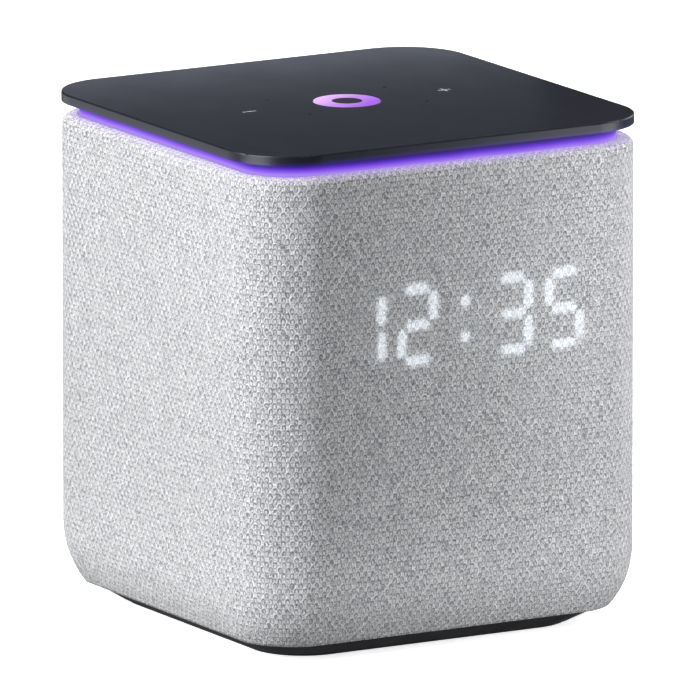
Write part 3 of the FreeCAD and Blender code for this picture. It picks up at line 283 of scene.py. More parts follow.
def moulded(name, dark, light, roughness, grain, depth, specular):
    """Moulded plastic or rubber: a fine spark texture, with slow drifts of shade and gloss."""
    material, tree, shader = new_material(name, specular=specular)
    where = place_in(tree)
    drift = noise(tree, where, 24 * MM)
    fine = noise(tree, where, grain * MM, 2.0)
    share = calc(tree, "MULTIPLY_ADD", fine, 0.5, calc(tree, "MULTIPLY", drift, 0.5))
    feed(tree, shader.inputs["Base Color"], blend_colours(tree, share, dark, light))
    gloss = spread(tree, noise(tree, where, 9 * MM), 0.3, 0.7, roughness - 0.06, roughness + 0.06)
    feed(tree, shader.inputs["Roughness"], gloss)
    bumped(tree, shader, fine, depth * MM)
    return material


def metal(name, dark, light, roughness, stretch):
    """Bare or plated metal, brushed along the axis with the small stretch."""
    material, tree, shader = new_material(name, metallic=1.0)
    where = place_in(tree)
    brushed = noise(tree, where, 0.5 * MM, 3.0, 0.6, stretch)
    cloud = noise(tree, where, 7 * MM)
    feed(tree, shader.inputs["Base Color"], blend_colours(tree, cloud, dark, light))
    gloss = spread(tree, brushed, 0.3, 0.7, roughness - 0.08, roughness + 0.1)
    feed(tree, shader.inputs["Roughness"], gloss)
    bumped(tree, shader, brushed, 0.01 * MM)
    return material


def woven(name, dark, light, pitch, roughness):
    """A plain cloth: two crossing sets of threads."""
    material, tree, shader = new_material(name, roughness=roughness, specular=0.25)
    where = place_in(tree)
    threads = []
    for axis in ("X", "Z"):
        settings = {"wave_type": "BANDS", "bands_direction": axis}
        inputs = {"Vector": where, "Scale": math.pi / 10 / pitch, "Distortion": 0.4}
        threads.append(add(tree, "TexWave", settings, inputs).outputs["Fac"])
    cloth = calc(tree, "MAXIMUM", threads[0], threads[1])
    shade = calc(tree, "MULTIPLY", cloth, noise(tree, where, 3 * MM))
    feed(tree, shader.inputs["Base Color"], blend_colours(tree, shade, dark, light))
    bumped(tree, shader, cloth, 0.12 * MM)
    return material


def fibrous(name, dark, light):
    """Pressed paper: short fibres and cloudy shade."""
    material, tree, shader = new_material(name, roughness=0.85, specular=0.3)
    where = place_in(tree)
    fibres = noise(tree, where, 0.7 * MM, 6.0, 0.75)
    cloud = noise(tree, where, 6 * MM)
    share = calc(tree, "MULTIPLY", fibres, calc(tree, "ADD", cloud, 0.5))
    feed(tree, shader.inputs["Base Color"], blend_colours(tree, share, dark, light))
    bumped(tree, shader, fibres, 0.05 * MM)
    return material


def wound(name, dark, light, pitch, axis, metallic):
    """Fine wire or ribs side by side across an axis."""
    material, tree, shader = new_material(name, roughness=0.35, metallic=metallic)
    where = place_in(tree)
    settings = {"wave_type": "BANDS", "bands_direction": axis}
    inputs = {"Vector": where, "Scale": math.pi / 10 / pitch}
    wire = add(tree, "TexWave", settings, inputs).outputs["Fac"]
    feed(tree, shader.inputs["Base Color"], blend_colours(tree, wire, dark, light))
    bumped(tree, shader, wire, 0.08 * MM)
    return material


def circuit_board():
    """Green solder mask over copper tracks, with pale pads."""
    material, tree, shader = new_material("circuit_board", roughness=0.35)
    where = place_in(tree)
    settings = {"feature": "DISTANCE_TO_EDGE", "distance": "EUCLIDEAN"}
    inputs = {"Vector": where, "Scale": 1.0 / (3.2 * MM), "Randomness": 0.35}
    edge = add(tree, "TexVoronoi", settings, inputs).outputs["Distance"]
    tracks = spread(tree, edge, 0.05, 0.09, 1.0, 0.0)
    pads = add(tree, "TexVoronoi", None, {"Vector": where, "Scale": 1.0 / (2.1 * MM)})
    pads = spread(tree, pads.outputs["Distance"], 0.12, 0.16, 1.0, 0.0)
    mask = blend_colours(tree, noise(tree, where, 12 * MM), (0.010, 0.055, 0.030), (0.020, 0.090, 0.045))
    mask = blend_colours(tree, tracks, mask, (0.045, 0.160, 0.075))
    feed(tree, shader.inputs["Base Color"], blend_colours(tree, pads, mask, (0.62, 0.58, 0.48)))
    bumped(tree, shader, calc(tree, "MAXIMUM", tracks, pads), 0.03 * MM)
    return material


def lamp_face():
    """The yellow face of a small white lamp, faintly mottled."""
    material, tree, shader = new_material("lamp", roughness=0.3, Emission_Strength=0.6)
    mottle = noise(tree, place_in(tree), 0.4 * MM)
    colour = blend_colours(tree, mottle, (0.86, 0.74, 0.34), (0.95, 0.92, 0.78))
    feed(tree, shader.inputs["Base Color"], colour)
    glow = blend_colours(tree, mottle, (0.3, 0.2, 0.9), (0.6, 0.5, 1.0))
    feed(tree, shader.inputs["Emission Color"], glow)
    return material


def plate_plastic():
    """The touch plate: near-black satin with a very fine texture and faint handling marks."""
    material, tree, shader = new_material("plate_plastic", specular=0.27, Emission_Strength=1.0)
    where = place_in(tree)
    fine = noise(tree, where, 0.16 * MM, 2.0)
    drift = noise(tree, where, 40 * MM, 2.0)
    smudge = noise(tree, where, 11 * MM, 5.0, 0.6, (1.0, 0.6, 1.0))
    share = calc(tree, "MULTIPLY_ADD", drift, 0.7, calc(tree, "MULTIPLY", fine, 0.3))
    shade = blend_colours(tree, share, (0.005, 0.006, 0.012), (0.010, 0.011, 0.019))
    feed(tree, shader.inputs["Base Color"], shade)
    feed(tree, shader.inputs["Roughness"], spread(tree, smudge, 0.35, 0.7, 0.35, 0.38))
    bumped(tree, shader, fine, 0.006 * MM)
    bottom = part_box("top_plate")[0].z
    caught = spread(tree, split(tree, where)[2], bottom, bottom + CAUGHT_TALL, 1.0, 0.0, smooth=True)
    glow = blend_colours(tree, caught, (0.0, 0.0, 0.0), (0.012, 0.004, 0.110))
    feed(tree, shader.inputs["Emission Color"], glow)
    return material


def away_from_dim_spot(tree, where):
    """From 0 where the guide is dimmest to 1 well away from there."""
    gap = vector(tree, "DISTANCE", {0: where, 1: GUIDE_DIMMEST}, "Value")
    return spread(tree, gap, *GUIDE_DIM_REACH, smooth=True)


def light_guide():
    """The glowing guide: deep violet under the plate, going to lilac down at the sleeve."""
    material, tree, shader = new_material("light_guide", roughness=0.6, specular=0.08, Emission_Strength=1.0)
    where = place_in(tree)
    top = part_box("top_plate")[0].z
    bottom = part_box("fabric_sleeve")[1].z
    uneven = noise(tree, where, 14 * MM, 2.0)
    share = spread(tree, split(tree, where)[2], bottom, top)
    # Painted light: the guide glows brighter away from the dim spot, standing in for the lamps' sheen on the
    # band.
    share = calc(tree, "SUBTRACT", share, calc(tree, "MULTIPLY", away_from_dim_spot(tree, where), 0.15))
    share = calc(tree, "ADD", share, spread(tree, uneven, 0.3, 0.7, -0.03, 0.03))
    feed(tree, shader.inputs["Emission Color"], ramp(tree, share, GUIDE_COLOURS))
    cloudy = blend_colours(tree, uneven, (0.015, 0.010, 0.040), (0.025, 0.016, 0.060))
    feed(tree, shader.inputs["Base Color"], cloudy)
    return material


def lit_ring():
    """The ring light under the plate's middle: pale on one side, going to violet on the other."""
    material, tree, shader = new_material("lit_ring", roughness=0.45, specular=0.15, Emission_Strength=1.0)
    where = place_in(tree)
    across = vector(tree, "DOT_PRODUCT", {0: where, 1: RING_SWEEP}, "Value")
    low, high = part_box("activation_ring")
    uneven = noise(tree, where, 3 * MM, 2.0)
    stray = spread(tree, uneven, 0.3, 0.7, -0.06, 0.06)
    share = calc(tree, "ADD", spread(tree, across, low.x, high.x), stray)
    feed(tree, shader.inputs["Emission Color"], ramp(tree, share, RING_COLOURS))
    shade = blend_colours(tree, uneven, (0.03, 0.02, 0.05), (0.05, 0.03, 0.08))
    feed(tree, shader.inputs["Base Color"], shade)
    return material


def segment_light():
    """The clock's light bars: milky, and lit."""
    material, tree, shader = new_material("segment_light", roughness=0.4, Emission_Strength=1.0)
    mottle = noise(tree, place_in(tree), 1.2 * MM)
    shade = blend_colours(tree, mottle, (0.70, 0.72, 0.76), (0.85, 0.87, 0.90))
    feed(tree, shader.inputs["Base Color"], shade)
    glow = blend_colours(tree, mottle, (0.55, 0.62, 0.75), (0.80, 0.88, 1.0))
    feed(tree, shader.inputs["Emission Color"], glow)
    return material


def flecks(tree, where, size, stretch):
    """Small cells of random shade, from 0 to 1."""
    where = add(tree, "Mapping", None, {"Vector": where, "Scale": stretch}).outputs[0]
    cells = add(tree, "TexVoronoi", None, {"Vector": where, "Scale": 1.0 / size})
    return add(tree, "SeparateColor", None, {0: cells.outputs["Color"]}).outputs[0]


def hoop(tree, distance, middle, half):
    """1 at this distance from a loop's middle, falling to 0 at half either side."""
    off = calc(tree, "ABSOLUTE", calc(tree, "SUBTRACT", distance, middle))
    return calc(tree, "SUBTRACT", 1.0, calc(tree, "MINIMUM", calc(tree, "DIVIDE", off, half), 1.0))


def knit_loops(tree, flat):
    """The shares of pale ridge, partly painted highlight, and of dark pit, partly painted shade, and the
    fibres' tone, at a place on the flat cloth.
    """
    stitch_wide, stitch_tall = stitch_size()
    wobble = add(tree, "TexNoise", None, {"Vector": flat, "Scale": 1.0 / WOBBLE_SIZE, "Detail": 2.0})
    wobble = vector(tree, "SUBTRACT", {0: wobble.outputs["Color"], 1: (0.5, 0.5, 0.5)})
    wobble = vector(tree, "SCALE", {0: wobble, "Scale": WOBBLE_REACH})
    bent = vector(tree, "ADD", {0: flat, 1: wobble})
    x, y, _ = split(tree, bent)
    across = calc(tree, "DIVIDE", x, stitch_wide)
    down = calc(tree, "DIVIDE", y, stitch_tall)
    one = calc(tree, "ADD", calc(tree, "ADD", across, down), LOOP_JITTER / 2)
    other = calc(tree, "ADD", calc(tree, "SUBTRACT", across, down), LOOP_JITTER / 2)
    skewed = add(tree, "CombineXYZ", None, {0: one, 1: other}).outputs[0]
    cells = {"Vector": skewed, "Scale": 1.0, "Randomness": LOOP_JITTER}
    loops = add(tree, "TexVoronoi", {"voronoi_dimensions": "2D"}, cells)
    x, y, _ = split(tree, vector(tree, "SUBTRACT", {0: skewed, 1: loops.outputs["Position"]}))
    rise = calc(tree, "SUBTRACT", x, y)
    wide = calc(tree, "MULTIPLY", calc(tree, "ADD", x, y), LOOP_NARROW)
    tall = calc(tree, "MULTIPLY", rise, LOOP_SHORT)
    stretched = add(tree, "CombineXYZ", None, {0: wide, 1: tall}).outputs[0]
    apart = vector(tree, "LENGTH", {0: stretched}, "Value")

    patch = noise(tree, flat, PATCH_SIZE, 2.0)
    # Pale ridge: partly the yarn's pale strands, partly a painted highlight on the raised loops.
    ridge_and_highlight = hoop(tree, apart, RIDGE_AT, RIDGE_HALF)
    ridge_and_highlight = calc(tree, "MULTIPLY", ridge_and_highlight, spread(tree, patch, 0.32, 0.62, 0.55, 1.0))
    # Dark pit: partly the knit's open gaps, partly painted shade in the hollows; the next line paints it
    # fullest in each loop's upper part, as a painted shadow under the strand above.
    pit_and_shade = hoop(tree, apart, PIT_AT, PIT_HALF)
    pit_and_shade = calc(tree, "MULTIPLY", pit_and_shade, spread(tree, rise, -0.32, 0.32, 1.0, 0.40))
    pit_and_shade = calc(tree, "MULTIPLY", pit_and_shade, spread(tree, patch, 0.35, 0.70, 1.0, 0.72))
    speck = spread(tree, flecks(tree, flat, SPECK_SIZE, (1.2, 0.75, 1.0)), 0.84, 0.90, 0.0, 0.7)
    pit_and_shade = calc(tree, "MAXIMUM", pit_and_shade, calc(tree, "MULTIPLY", speck, calc(tree, "SUBTRACT", 1.0, ridge_and_highlight)))
    return ridge_and_highlight, pit_and_shade, flecks(tree, bent, FIBRE_SIZE, (1.1, 0.75, 1.0))


def clock_glow(tree, flat, ridge_and_highlight, fibre):
    """The clock's light through the cloth: a ragged bright core in a faint halo."""
    apart = add(tree, "Attribute", {"attribute_name": "lit"}).outputs["Fac"]
    ragged = spread(tree, noise(tree, flat, 1.5 * MM, 2.0), 0.25, 0.75, -0.5 * MM, 0.5 * MM)
    core = spread(tree, calc(tree, "ADD", apart, ragged), -0.45 * MM, 0.95 * MM, 1.0, 0.0, smooth=True)
    halo = calc(tree, "POWER", spread(tree, apart, 0.0, HALO_REACH, 1.0, 0.0), 2.0)
    weave = calc(tree, "MULTIPLY_ADD", ridge_and_highlight, 0.22, calc(tree, "MULTIPLY_ADD", fibre, 0.16, 0.62))
    shine = calc(tree, "MULTIPLY", calc(tree, "MULTIPLY", core, weave), 0.62)
    shine = calc(tree, "MULTIPLY_ADD", halo, 0.050, shine)
    return blend_colours(tree, 1.0, (0.84, 0.92, 1.0), shine, "MULTIPLY")


def band_glow(tree):
    """The light band's spill on the sleeve's top edge."""
    where = place_in(tree)
    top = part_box("fabric_sleeve")[1].z
    away = away_from_dim_spot(tree, where)
    spill = spread(tree, split(tree, where)[2], top - SPILL_TALL, top + 0.05 * MM, 0.0, 1.0)
    strength = calc(tree, "MULTIPLY_ADD", away, -0.22, 0.62)
    spill = calc(tree, "MULTIPLY", calc(tree, "POWER", spill, 2.0), strength)
    tint = blend_colours(tree, away, (0.62, 0.46, 1.0), (0.72, 0.57, 0.96))
    return blend_colours(tree, 1.0, tint, spill, "MULTIPLY")


def sleeve_knit():
    """The light grey knit: pale looped ridges round small dark cells, the pale partly painted highlight and
    the dark partly painted shade, lit from behind at the clock.
    """
    sheen = {"Sheen_Weight": 0.25, "Sheen_Roughness": 0.5}
    material, tree, shader = new_material(
        "sleeve_knit", roughness=0.88, specular=0.18, Emission_Strength=1.0, **sheen
    )
    flat = add(tree, "UVMap", {"uv_map": "Knit"}).outputs[0]
    ridge_and_highlight, pit_and_shade, fibre = knit_loops(tree, flat)
    body = blend_colours(tree, fibre, (0.285, 0.288, 0.302), (0.640, 0.643, 0.658))
    # The pale ridge colour is partly painted highlight, and the near-black pit colour below is partly
    # painted shade in the knit's hollows.
    colour = blend_colours(tree, ridge_and_highlight, body, (0.96, 0.96, 0.97))
    colour = blend_colours(tree, calc(tree, "MULTIPLY", pit_and_shade, 0.97), colour, (0.050, 0.053, 0.070))
    slow = spread(tree, noise(tree, flat, STAIN_SIZE, 2.0), 0.3, 0.7, 0.0, 0.10)
    feed(tree, shader.inputs["Base Color"], blend_colours(tree, slow, colour, (0.42, 0.42, 0.44)))
    lift = calc(tree, "MULTIPLY_ADD", ridge_and_highlight, 0.7, calc(tree, "MULTIPLY", fibre, 0.25))
    lift = calc(tree, "SUBTRACT", lift, calc(tree, "MULTIPLY", pit_and_shade, 0.6))
    bumped(tree, shader, lift, KNIT_DEPTH)
    glow = blend_colours(tree, 1.0, clock_glow(tree, flat, ridge_and_highlight, fibre), band_glow(tree), "ADD")
    feed(tree, shader.inputs["Emission Color"], glow)
    return material


def finishes():
    """Every material by the name of its slot in the record."""
    made = {name: moulded(name, *look) for name, look in MOULDED.items()}
    made.update({name: metal(name, *look) for name, look in METALS.items()})
    made.update({
        "plate_plastic": plate_plastic(),
        "lit_ring": lit_ring(),
        "light_guide": light_guide(),
        "circuit_board": circuit_board(),
        "lamp": lamp_face(),
        "segment_light": segment_light(),
        "cone_paper": fibrous("cone_paper", (0.012, 0.012, 0.013), (0.060, 0.060, 0.062)),
        "coil_copper": wound("coil_copper", (0.40, 0.13, 0.05), (0.90, 0.42, 0.20), 0.3 * MM, "Y", 1.0),
        "ribbon_film": wound("ribbon_film", (0.35, 0.17, 0.03), (0.72, 0.44, 0.10), 0.9 * MM, "X", 0.0),
        "spider_cloth": woven("spider_cloth", (0.30, 0.20, 0.07), (0.66, 0.49, 0.22), 0.5 * MM, 0.8),
        "dome_silk": woven("dome_silk", (0.012, 0.012, 0.014), (0.075, 0.075, 0.085), 0.28 * MM, 0.55),
        "sleeve_knit": sleeve_knit(),
    })
    return made


def sleeve_half():
    """Half the sleeve's outer side."""
    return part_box("fabric_sleeve")[1].x


def outline_length():
    """The way once round the sleeve."""
    return 8 * (sleeve_half() - SLEEVE_CORNER) + 2 * math.pi * SLEEVE_CORNER


def profile():
    """(inset, height) down the sleeve, from its mouth over the shoulder to the rim, closely spaced."""
    low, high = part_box("fabric_sleeve")
    points = [(sleeve_half() - SLEEVE_MOUTH, high.z), (SLEEVE_SHOULDER, high.z)]
    for angle in np.linspace(0, math.pi / 2, SHOULDER_STEPS)[1:]:
        inset = SLEEVE_SHOULDER * (1 - math.sin(angle))
        points.append((inset, high.z - SLEEVE_SHOULDER * (1 - math.cos(angle))))
    for share in np.linspace(0, 1, FOOT_CURVE_STEPS):
        height = FOOT_CURVE_TOP + (low.z - FOOT_CURVE_TOP) * share
        points.append((FOOT_CURVE_INSET * share**FOOT_CURVE_POWER, height))
    return np.array(points)


def profile_length():
    """The way down the profile."""
    return float(np.linalg.norm(np.diff(profile(), axis=0), axis=1).sum())


def stitch_size():
    """A stitch's width and height, so that a whole number goes round and down."""
    return outline_length() / STITCHES_ROUND, profile_length() / ROWS_DOWN


def outline(along):
    """The sleeve's plan at these distances round it, from the middle of the back: points, outward normals,
    and how far into a corner each is, from 0 to 1."""
    half, corner = sleeve_half(), SLEEVE_CORNER
    straight, bend = 2 * (half - corner), corner * math.pi / 2
    quarter = straight + bend
    along = (along + straight / 2) % (4 * quarter)
    side = np.floor(along / quarter)
    rest = along - side * quarter
    turn = np.clip(rest - straight, 0, None) / corner
    reach = np.minimum(rest, straight) - straight / 2
    x = reach + corner * np.sin(turn)
    y = half - corner + corner * np.cos(turn)
    nx, ny = np.sin(turn), np.cos(turn)
    angle = -side * math.pi / 2
    cosine, sine = np.cos(angle), np.sin(angle)
    points = np.stack([x * cosine - y * sine, x * sine + y * cosine], -1)
    normals = np.stack([nx * cosine - ny * sine, nx * sine + ny * cosine], -1)
    return points, normals, np.sin(2 * turn)


def segment_boxes():
    """(lowest, highest) corner of each clock bar, in the clock's plane."""
    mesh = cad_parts["clock_segments"].data
    spots = np.array([v.co for v in mesh.vertices])
    spots, welded = np.unique(np.round(spots, 6), axis=0, return_inverse=True)
    group = np.arange(len(spots))
    edges = welded.reshape(-1)[np.array([e.vertices for e in mesh.edges])]
    while True:
        lowest = np.minimum(group[edges[:, 0]], group[edges[:, 1]])
        before = group.copy()
        np.minimum.at(group, edges[:, 0], lowest)
        np.minimum.at(group, edges[:, 1], lowest)
        if (group == before).all():
            break
    parts = [spots[group == one][:, [0, 2]] for one in np.unique(group)]
    return [(part.min(0), part.max(0)) for part in parts]


def lit_bars():
    """(end, end, radius) of each clock bar that is on, in the clock's plane."""
    boxes = segment_boxes()
    middle = (np.min([b[0] for b in boxes], 0) + np.max([b[1] for b in boxes], 0)) / 2
    wide = [b for b in boxes if (b[1] - b[0])[0] > LONG_BAR * (b[1] - b[0])[1]]
    centres = sorted({round(float((b[0] + b[1])[0] / 2), 5) for b in wide})
    bars = []
    for low, high in boxes:
        size, spot = high - low, (low + high) / 2
        long = max(size)
        radius = min(size) / 2
        if long < LONG_BAR * min(size):
            bars.append((spot, spot, radius))
            continue
        flat = size[0] > size[1]
        digit = int(np.argmin([abs(c - spot[0]) for c in centres]))
        rise = spot[1] - middle[1]
        if flat:
            name = "middle" if abs(rise) < long / 4 else ("top" if rise > 0 else "bottom")
        else:
            name = ("upper_" if rise > 0 else "lower_") + ("right" if spot[0] > centres[digit] else "left")
        if name in SEGMENTS_OF[TIME_SHOWN[digit]]:
            half = np.array([long / 2 - radius, 0.0] if flat else [0.0, long / 2 - radius])
            bars.append((spot - half, spot + half, radius))
    return bars


def distance_to_bars(points):
    """How far points in the clock's plane are from the nearest lit bar's edge, negative inside."""
    nearest = np.full(len(points), GLOW_REACH)
    for start, end, radius in lit_bars():
        along = end - start
        size = max(float(along @ along), 1e-12)
        share = np.clip((points - start) @ along / size, 0, 1)
        gap = np.linalg.norm(points - start - share[:, None] * along, axis=1) - radius
        nearest = np.minimum(nearest, gap)
    return nearest


def window_gap(x, z):
    """How far points are outside the sleeve's rear window, negative inside."""
    dx = np.abs(x) - WINDOW_HALF[0] + WINDOW_CORNER
    dz = np.abs(z - WINDOW_MIDDLE) - WINDOW_HALF[1] + WINDOW_CORNER
    outside = np.hypot(np.clip(dx, 0, None), np.clip(dz, 0, None))
    return outside + np.minimum(np.maximum(dx, dz), 0) - WINDOW_CORNER


def stitch_relief(around, down):
    """How far each point of the cloth is raised, and how far its stitch has strayed along and down."""
    random = np.random.default_rng(7)
    stitch_wide, stitch_tall = stitch_size()
    u, v = np.meshgrid(around, down)
    i, j = u / stitch_wide, v / stitch_tall
    best, pick = None, None
    for shift in (0.0, 0.5):
        a, b = np.round(i - shift), np.round(j - shift)
        far = np.hypot((i - shift - a) * stitch_wide / PIT_WIDE, (j - shift - b) * stitch_tall / PIT_TALL)
        spot = np.stack([(a + 2 * shift * STITCHES_ROUND) % (2 * STITCHES_ROUND), b + 1], -1).astype(int)
        if best is None:
            best, pick = far, spot
        else:
            pick = np.where((far < best)[..., None], spot, pick)
            best = np.minimum(far, best)
    shape = (2 * STITCHES_ROUND, ROWS_DOWN + 3)
    depth = random.uniform(0.65, 1.25, shape)[pick[..., 0], pick[..., 1]]
    wander = random.normal(0, STITCH_WANDER, (*shape, 2))[pick[..., 0], pick[..., 1]]
    wander = np.clip(wander, -2 * STITCH_WANDER, 2 * STITCH_WANDER) * np.clip(1.15 - best, 0, 1)[..., None]
    raised = RIDGE_PROUD - PIT_DEEP * depth * np.clip(1.0 - best, 0, 1)
    return raised + random.normal(0, YARN_ROUGH, raised.shape), wander


def snapped_to_window(points, spots):
    """Moves these points of the cloth onto the rear window's edge."""
    off = 0.02 * MM
    for spot in spots:
        here = points[spot, [0, 2]]
        for _ in range(4):
            g = float(window_gap(here[0], here[1]))
            slope = np.array([
                float(window_gap(here[0] + off, here[1])) - g,
                float(window_gap(here[0], here[1] + off)) - g,
            ]) / off
            here = here - g * slope / max(float(slope @ slope), 1e-9)
        points[spot, 0], points[spot, 2] = here


def cloth_quads(around, down):
    """The cloth's faces over its grid of points, and each face's corners on the flat cloth."""
    rows, columns = len(down), len(around)
    grid = np.arange(rows * columns).reshape(rows, columns)
    right = np.roll(grid, -1, 1)
    quads = np.stack([grid[:-1], grid[1:], right[1:], right[:-1]], -1).reshape(-1, 4)
    along = np.concatenate([around, [outline_length()]])
    corners_u = np.stack([along[:-1], along[:-1], along[1:], along[1:]], -1)
    quads_u = np.repeat(corners_u[None], rows - 1, 0).reshape(-1, 4)
    corners_v = np.stack([down[:-1], down[1:], down[1:], down[:-1]], -1)
    quads_v = np.repeat(corners_v[:, None], columns, 1).reshape(-1, 4)
    return quads, np.stack([quads_u, quads_v], -1)


def cloth_points(around, down):
    """The stretched cloth's points, stitches raised, and how far each is outside the rear window."""
    line = profile()
    way = np.concatenate([[0], np.cumsum(np.linalg.norm(np.diff(line, axis=0), axis=1))])
    inset, height = np.interp(down, way, line[:, 0]), np.interp(down, way, line[:, 1])
    step_in, step_up = np.gradient(inset, down), np.gradient(height, down)
    plan, plan_normal, cornering = outline(around)
    raised, wander = stitch_relief(around, down)

    fade = np.clip(np.minimum(down, down[-1] - down) / HEM_FADE, 0, 1)
    raised, wander = raised * fade[:, None], wander * fade[:, None, None]
    foot_share = np.clip((FOOT_CURVE_TOP - height) / (FOOT_CURVE_TOP - height[-1]), 0, 1) ** FOOT_CURVE_POWER
    pulled = inset[:, None] + FOOT_CORNER_EXTRA * foot_share[:, None] * cornering[None, :]
    base_x = plan[None, :, 0] - plan_normal[None, :, 0] * pulled
    base_y = plan[None, :, 1] - plan_normal[None, :, 1] * pulled
    base_z = np.repeat(height[:, None], len(around), 1)
    gap = np.where(base_y > 0, window_gap(base_x, base_z), 1.0)
    near = np.clip(gap / HEM_FADE, 0, 1)
    raised, wander = raised * near, wander * near[..., None]

    lean = np.hypot(step_in, step_up)
    out_share, up_share = -step_up / lean, -step_in / lean
    x = base_x + plan_normal[None, :, 0] * raised * out_share[:, None]
    y = base_y + plan_normal[None, :, 1] * raised * out_share[:, None]
    z = base_z + raised * up_share[:, None]
    x = x + plan_normal[None, :, 1] * wander[..., 0]
    y = y - plan_normal[None, :, 0] * wander[..., 0]
    z = z + wander[..., 1] * np.abs(step_up)[:, None]
    return np.stack([x, y, z], -1).reshape(-1, 3), gap.reshape(-1)


def knit_sleeve():
    """The knit sleeve: a stretched tube of cloth with its stitches raised, open at the rear window."""
    columns = STITCHES_ROUND * STEPS_PER_STITCH
    around = np.arange(columns) * outline_length() / columns
    down = np.linspace(0, profile_length(), ROWS_DOWN * STEPS_PER_STITCH + 1)
    points, gap = cloth_points(around, down)
    quads, quads_uv = cloth_quads(around, down)
    kept = gap[quads].mean(1) > 0
    snapped_to_window(points, np.intersect1d(quads[kept], quads[~kept]))
    points, quads, quads_uv = folded_in(points, quads[kept], quads_uv[kept])

    mesh = bpy.data.meshes.new("knit_sleeve")
    mesh.from_pydata(points.tolist(), [], quads.tolist())
    mesh.polygons.foreach_set("use_smooth", np.ones(len(mesh.polygons), bool))
    layer = mesh.uv_layers.new(name="Knit")
    layer.data.foreach_set("uv", quads_uv.reshape(-1).astype(np.float32))
    gaps = distance_to_bars(points[:, [0, 2]])
    gaps = np.where(points[:, 1] < 0, gaps, GLOW_REACH)
    lit = mesh.attributes.new("lit", "FLOAT", "POINT")
    lit.data.foreach_set("value", gaps.astype(np.float32))
    return mesh


def folded_in(points, quads, quads_uv):
    """The cloth with its mouth, its rim and its window turned in by the cloth's thickness."""
    sides = np.stack([quads, np.roll(quads, -1, 1)], -1).reshape(-1, 2)
    keys = np.sort(sides, 1) @ np.array([len(points), 1])
    _, first, count = np.unique(keys, return_index=True, return_counts=True)
    rim = first[count == 1]
    start, end = sides[rim, 0], sides[rim, 1]
    spots = np.unique(start)
    partner = {spot: len(points) + n for n, spot in enumerate(spots)}
    turned = points[spots].copy()
    low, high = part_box("fabric_sleeve")
    at_mouth = turned[:, 2] > high.z - SLEEVE_SKIN / 4
    at_rim = turned[:, 2] < low.z + SLEEVE_SKIN / 4
    turned[at_mouth, 2] -= SLEEVE_SKIN
    reach = sleeve_half() - SLEEVE_CORNER
    inward = np.clip(turned[:, :2], -reach, reach) - turned[:, :2]
    inward = inward / np.linalg.norm(inward, axis=1, keepdims=True) * SLEEVE_SKIN
    turned[at_rim, :2] += inward[at_rim]
    turned[~(at_mouth | at_rim), 1] -= SLEEVE_SKIN
    hem = np.stack([end, start, [partner[a] for a in start], [partner[b] for b in end]], -1)
    corner = rim % 4
    uv_start = quads_uv[rim // 4, corner]
    uv_end = quads_uv[rim // 4, (corner + 1) % 4]
    hem_uv = np.stack([uv_end, uv_start, uv_start, uv_end], 1)
    used, quads = np.unique(np.concatenate([quads, hem]), return_inverse=True)
    points = np.concatenate([points, turned])[used]
    return points, quads.reshape(-1, 4), np.concatenate([quads_uv, hem_uv])


def ring_slice(node, middle, turn, half):
    """A closed slice of a CAD ring about an axis along Y, half a slice to either side of a turn."""
    work = bmesh.new()
    work.from_mesh(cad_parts[node].data)
    bmesh.ops.remove_doubles(work, verts=work.verts, dist=WELD)
    for side in (-1, 1):
        angle = turn + side * half
        facing = Vector((-math.sin(angle), 0.0, math.cos(angle))) * side
        geometry = work.verts[:] + work.edges[:] + work.faces[:]
        bmesh.ops.bisect_plane(
            work, geom=geometry, dist=WELD, plane_co=middle, plane_no=facing, clear_outer=True
        )
    bmesh.ops.holes_fill(work, edges=[edge for edge in work.edges if edge.is_boundary])
    bmesh.ops.recalc_face_normals(work, faces=work.faces)
    mesh = bpy.data.meshes.new(f"{node}_slice")
    work.to_mesh(mesh)
    work.free()
    mesh.materials.append(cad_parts[node].material_slots[0].material)
    return mesh


def flexing_ring(node):
    """Slices of a ring about an axis along Y, in place of the CAD ring."""
    low, high = (Vector(corner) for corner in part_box(node))
    middle = (low + high) / 2
    half = math.pi / RING_SLICES
    for step in range(RING_SLICES):
        turn = 2 * half * step
        mesh = ring_slice(node, middle, turn, half)
        piece = bpy.data.objects.new(f"{node}_slice_{step + 1:02d}", mesh)
        bpy.context.collection.objects.link(piece)
        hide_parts(node)
        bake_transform(piece)


def softbox(name, place, aim, size, power, unseen_by):
    """A rectangular soft light."""
    light = bpy.data.lights.new(name, "AREA")
    light.shape = "RECTANGLE"
    light.size, light.size_y = size
    light.energy = power
    light.color = LAMP_COLOURS.get(name, (1.0, 1.0, 1.0))
    lamp = bpy.data.objects.new(name, light)
    lamp.location = place
    lamp.visible_camera = False
    lamp.visible_glossy = unseen_by != "glossy"
    lamp.visible_diffuse = unseen_by != "diffuse"
    lamp.rotation_mode = "QUATERNION"
    lamp.rotation_quaternion = (Vector(aim) - Vector(place)).to_track_quat("-Z", "Y")
    bpy.context.collection.objects.link(lamp)


def surround():
    """The white surround, which lights the object more from below than from above."""
    world = bpy.data.worlds.new("studio")
    bpy.context.scene.world = world
    world.use_nodes = True
    tree = world.node_tree
    tree.nodes.clear()
    rise = split(tree, add(tree, "TexCoord").outputs["Generated"])[2]
    strength = spread(tree, rise, -0.5, 0.05, SKY_BELOW, SKY_ABOVE, smooth=True)
    sky = add(tree, "Background", None, {"Color": (0.97, 0.98, 1.0), "Strength": strength})
    seen = add(tree, "Background", None, {"Color": (1.0, 1.0, 1.0), "Strength": 1.0})
    path = add(tree, "LightPath")
    shaders = {0: path.outputs["Is Camera Ray"], 1: sky.outputs[0], 2: seen.outputs[0]}
    mixed = add(tree, "MixShader", None, shaders)
    output = add(tree, "OutputWorld")
    tree.links.new(mixed.outputs[0], output.inputs["Surface"])


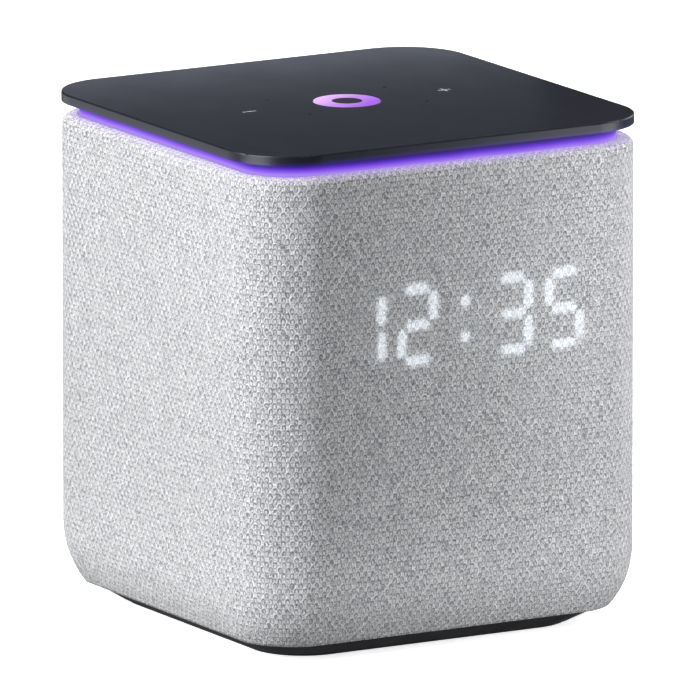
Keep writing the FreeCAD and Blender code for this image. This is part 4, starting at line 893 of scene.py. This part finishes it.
def pale_floor():
    """The plain pale floor."""
    material, tree, shader = new_material("floor", roughness=0.9, specular=0.1, Emission_Strength=0.75)
    pale = noise(tree, place_in(tree), 0.4)
    shade = blend_colours(tree, pale, (0.86, 0.86, 0.86), (0.90, 0.90, 0.90))
    feed(tree, shader.inputs["Base Color"], shade)
    feed(tree, shader.inputs["Emission Color"], (1.0, 1.0, 1.0))
    mesh = bpy.data.meshes.new("floor")
    corners = [(-1, -1), (1, -1), (1, 1), (-1, 1)]
    mesh.from_pydata([(x * FLOOR_HALF, y * FLOOR_HALF, 0) for x, y in corners], [], [(0, 1, 2, 3)])
    mesh.materials.append(material)
    floor = bpy.data.objects.new("floor", mesh)
    bpy.context.collection.objects.link(floor)
    floor.location.z = -FLOOR_DROP
    floor.visible_diffuse = False
    floor.visible_glossy = False


def set_camera():
    """The camera, at the photograph's angle."""
    turn, rise = math.radians(CAMERA_AZIMUTH), math.radians(CAMERA_ELEVATION)
    right = Vector((math.cos(turn), math.sin(turn), 0.0))
    back = Vector((math.sin(turn) * math.cos(rise), -math.cos(turn) * math.cos(rise), math.sin(rise)))
    up = back.cross(right)
    data = bpy.data.cameras.new("camera")
    data.lens = CAMERA_LENS
    data.clip_start, data.clip_end = 0.1, 60.0
    camera = bpy.data.objects.new("camera", data)
    aim = right * CAMERA_AIM[0] + up * CAMERA_AIM[1]
    camera.location = back * CAMERA_DISTANCE
    camera.rotation_mode = "QUATERNION"
    camera.rotation_quaternion = (aim - camera.location).to_track_quat("-Z", "Y")
    bpy.context.collection.objects.link(camera)
    bpy.context.scene.camera = camera


set_camera()
surround()
pale_floor()
for lamp_name, lamp_look in LAMPS.items():
    softbox(lamp_name, *lamp_look)
bpy.context.scene.view_settings.view_transform = "Standard"

FINISHES = finishes()
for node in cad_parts.values():
    for slot in node.material_slots:
        slot.material = FINISHES[slot.material.name.split(".")[0]]

sleeve_mesh = knit_sleeve()
sleeve_mesh.materials.append(FINISHES["sleeve_knit"])
sleeve = bpy.data.objects.new("knit_sleeve", sleeve_mesh)
bpy.context.collection.objects.link(sleeve)
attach(sleeve, "housing")
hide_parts("fabric_sleeve")

flexing_ring("woofer_surround")
flexing_ring("woofer_spider")
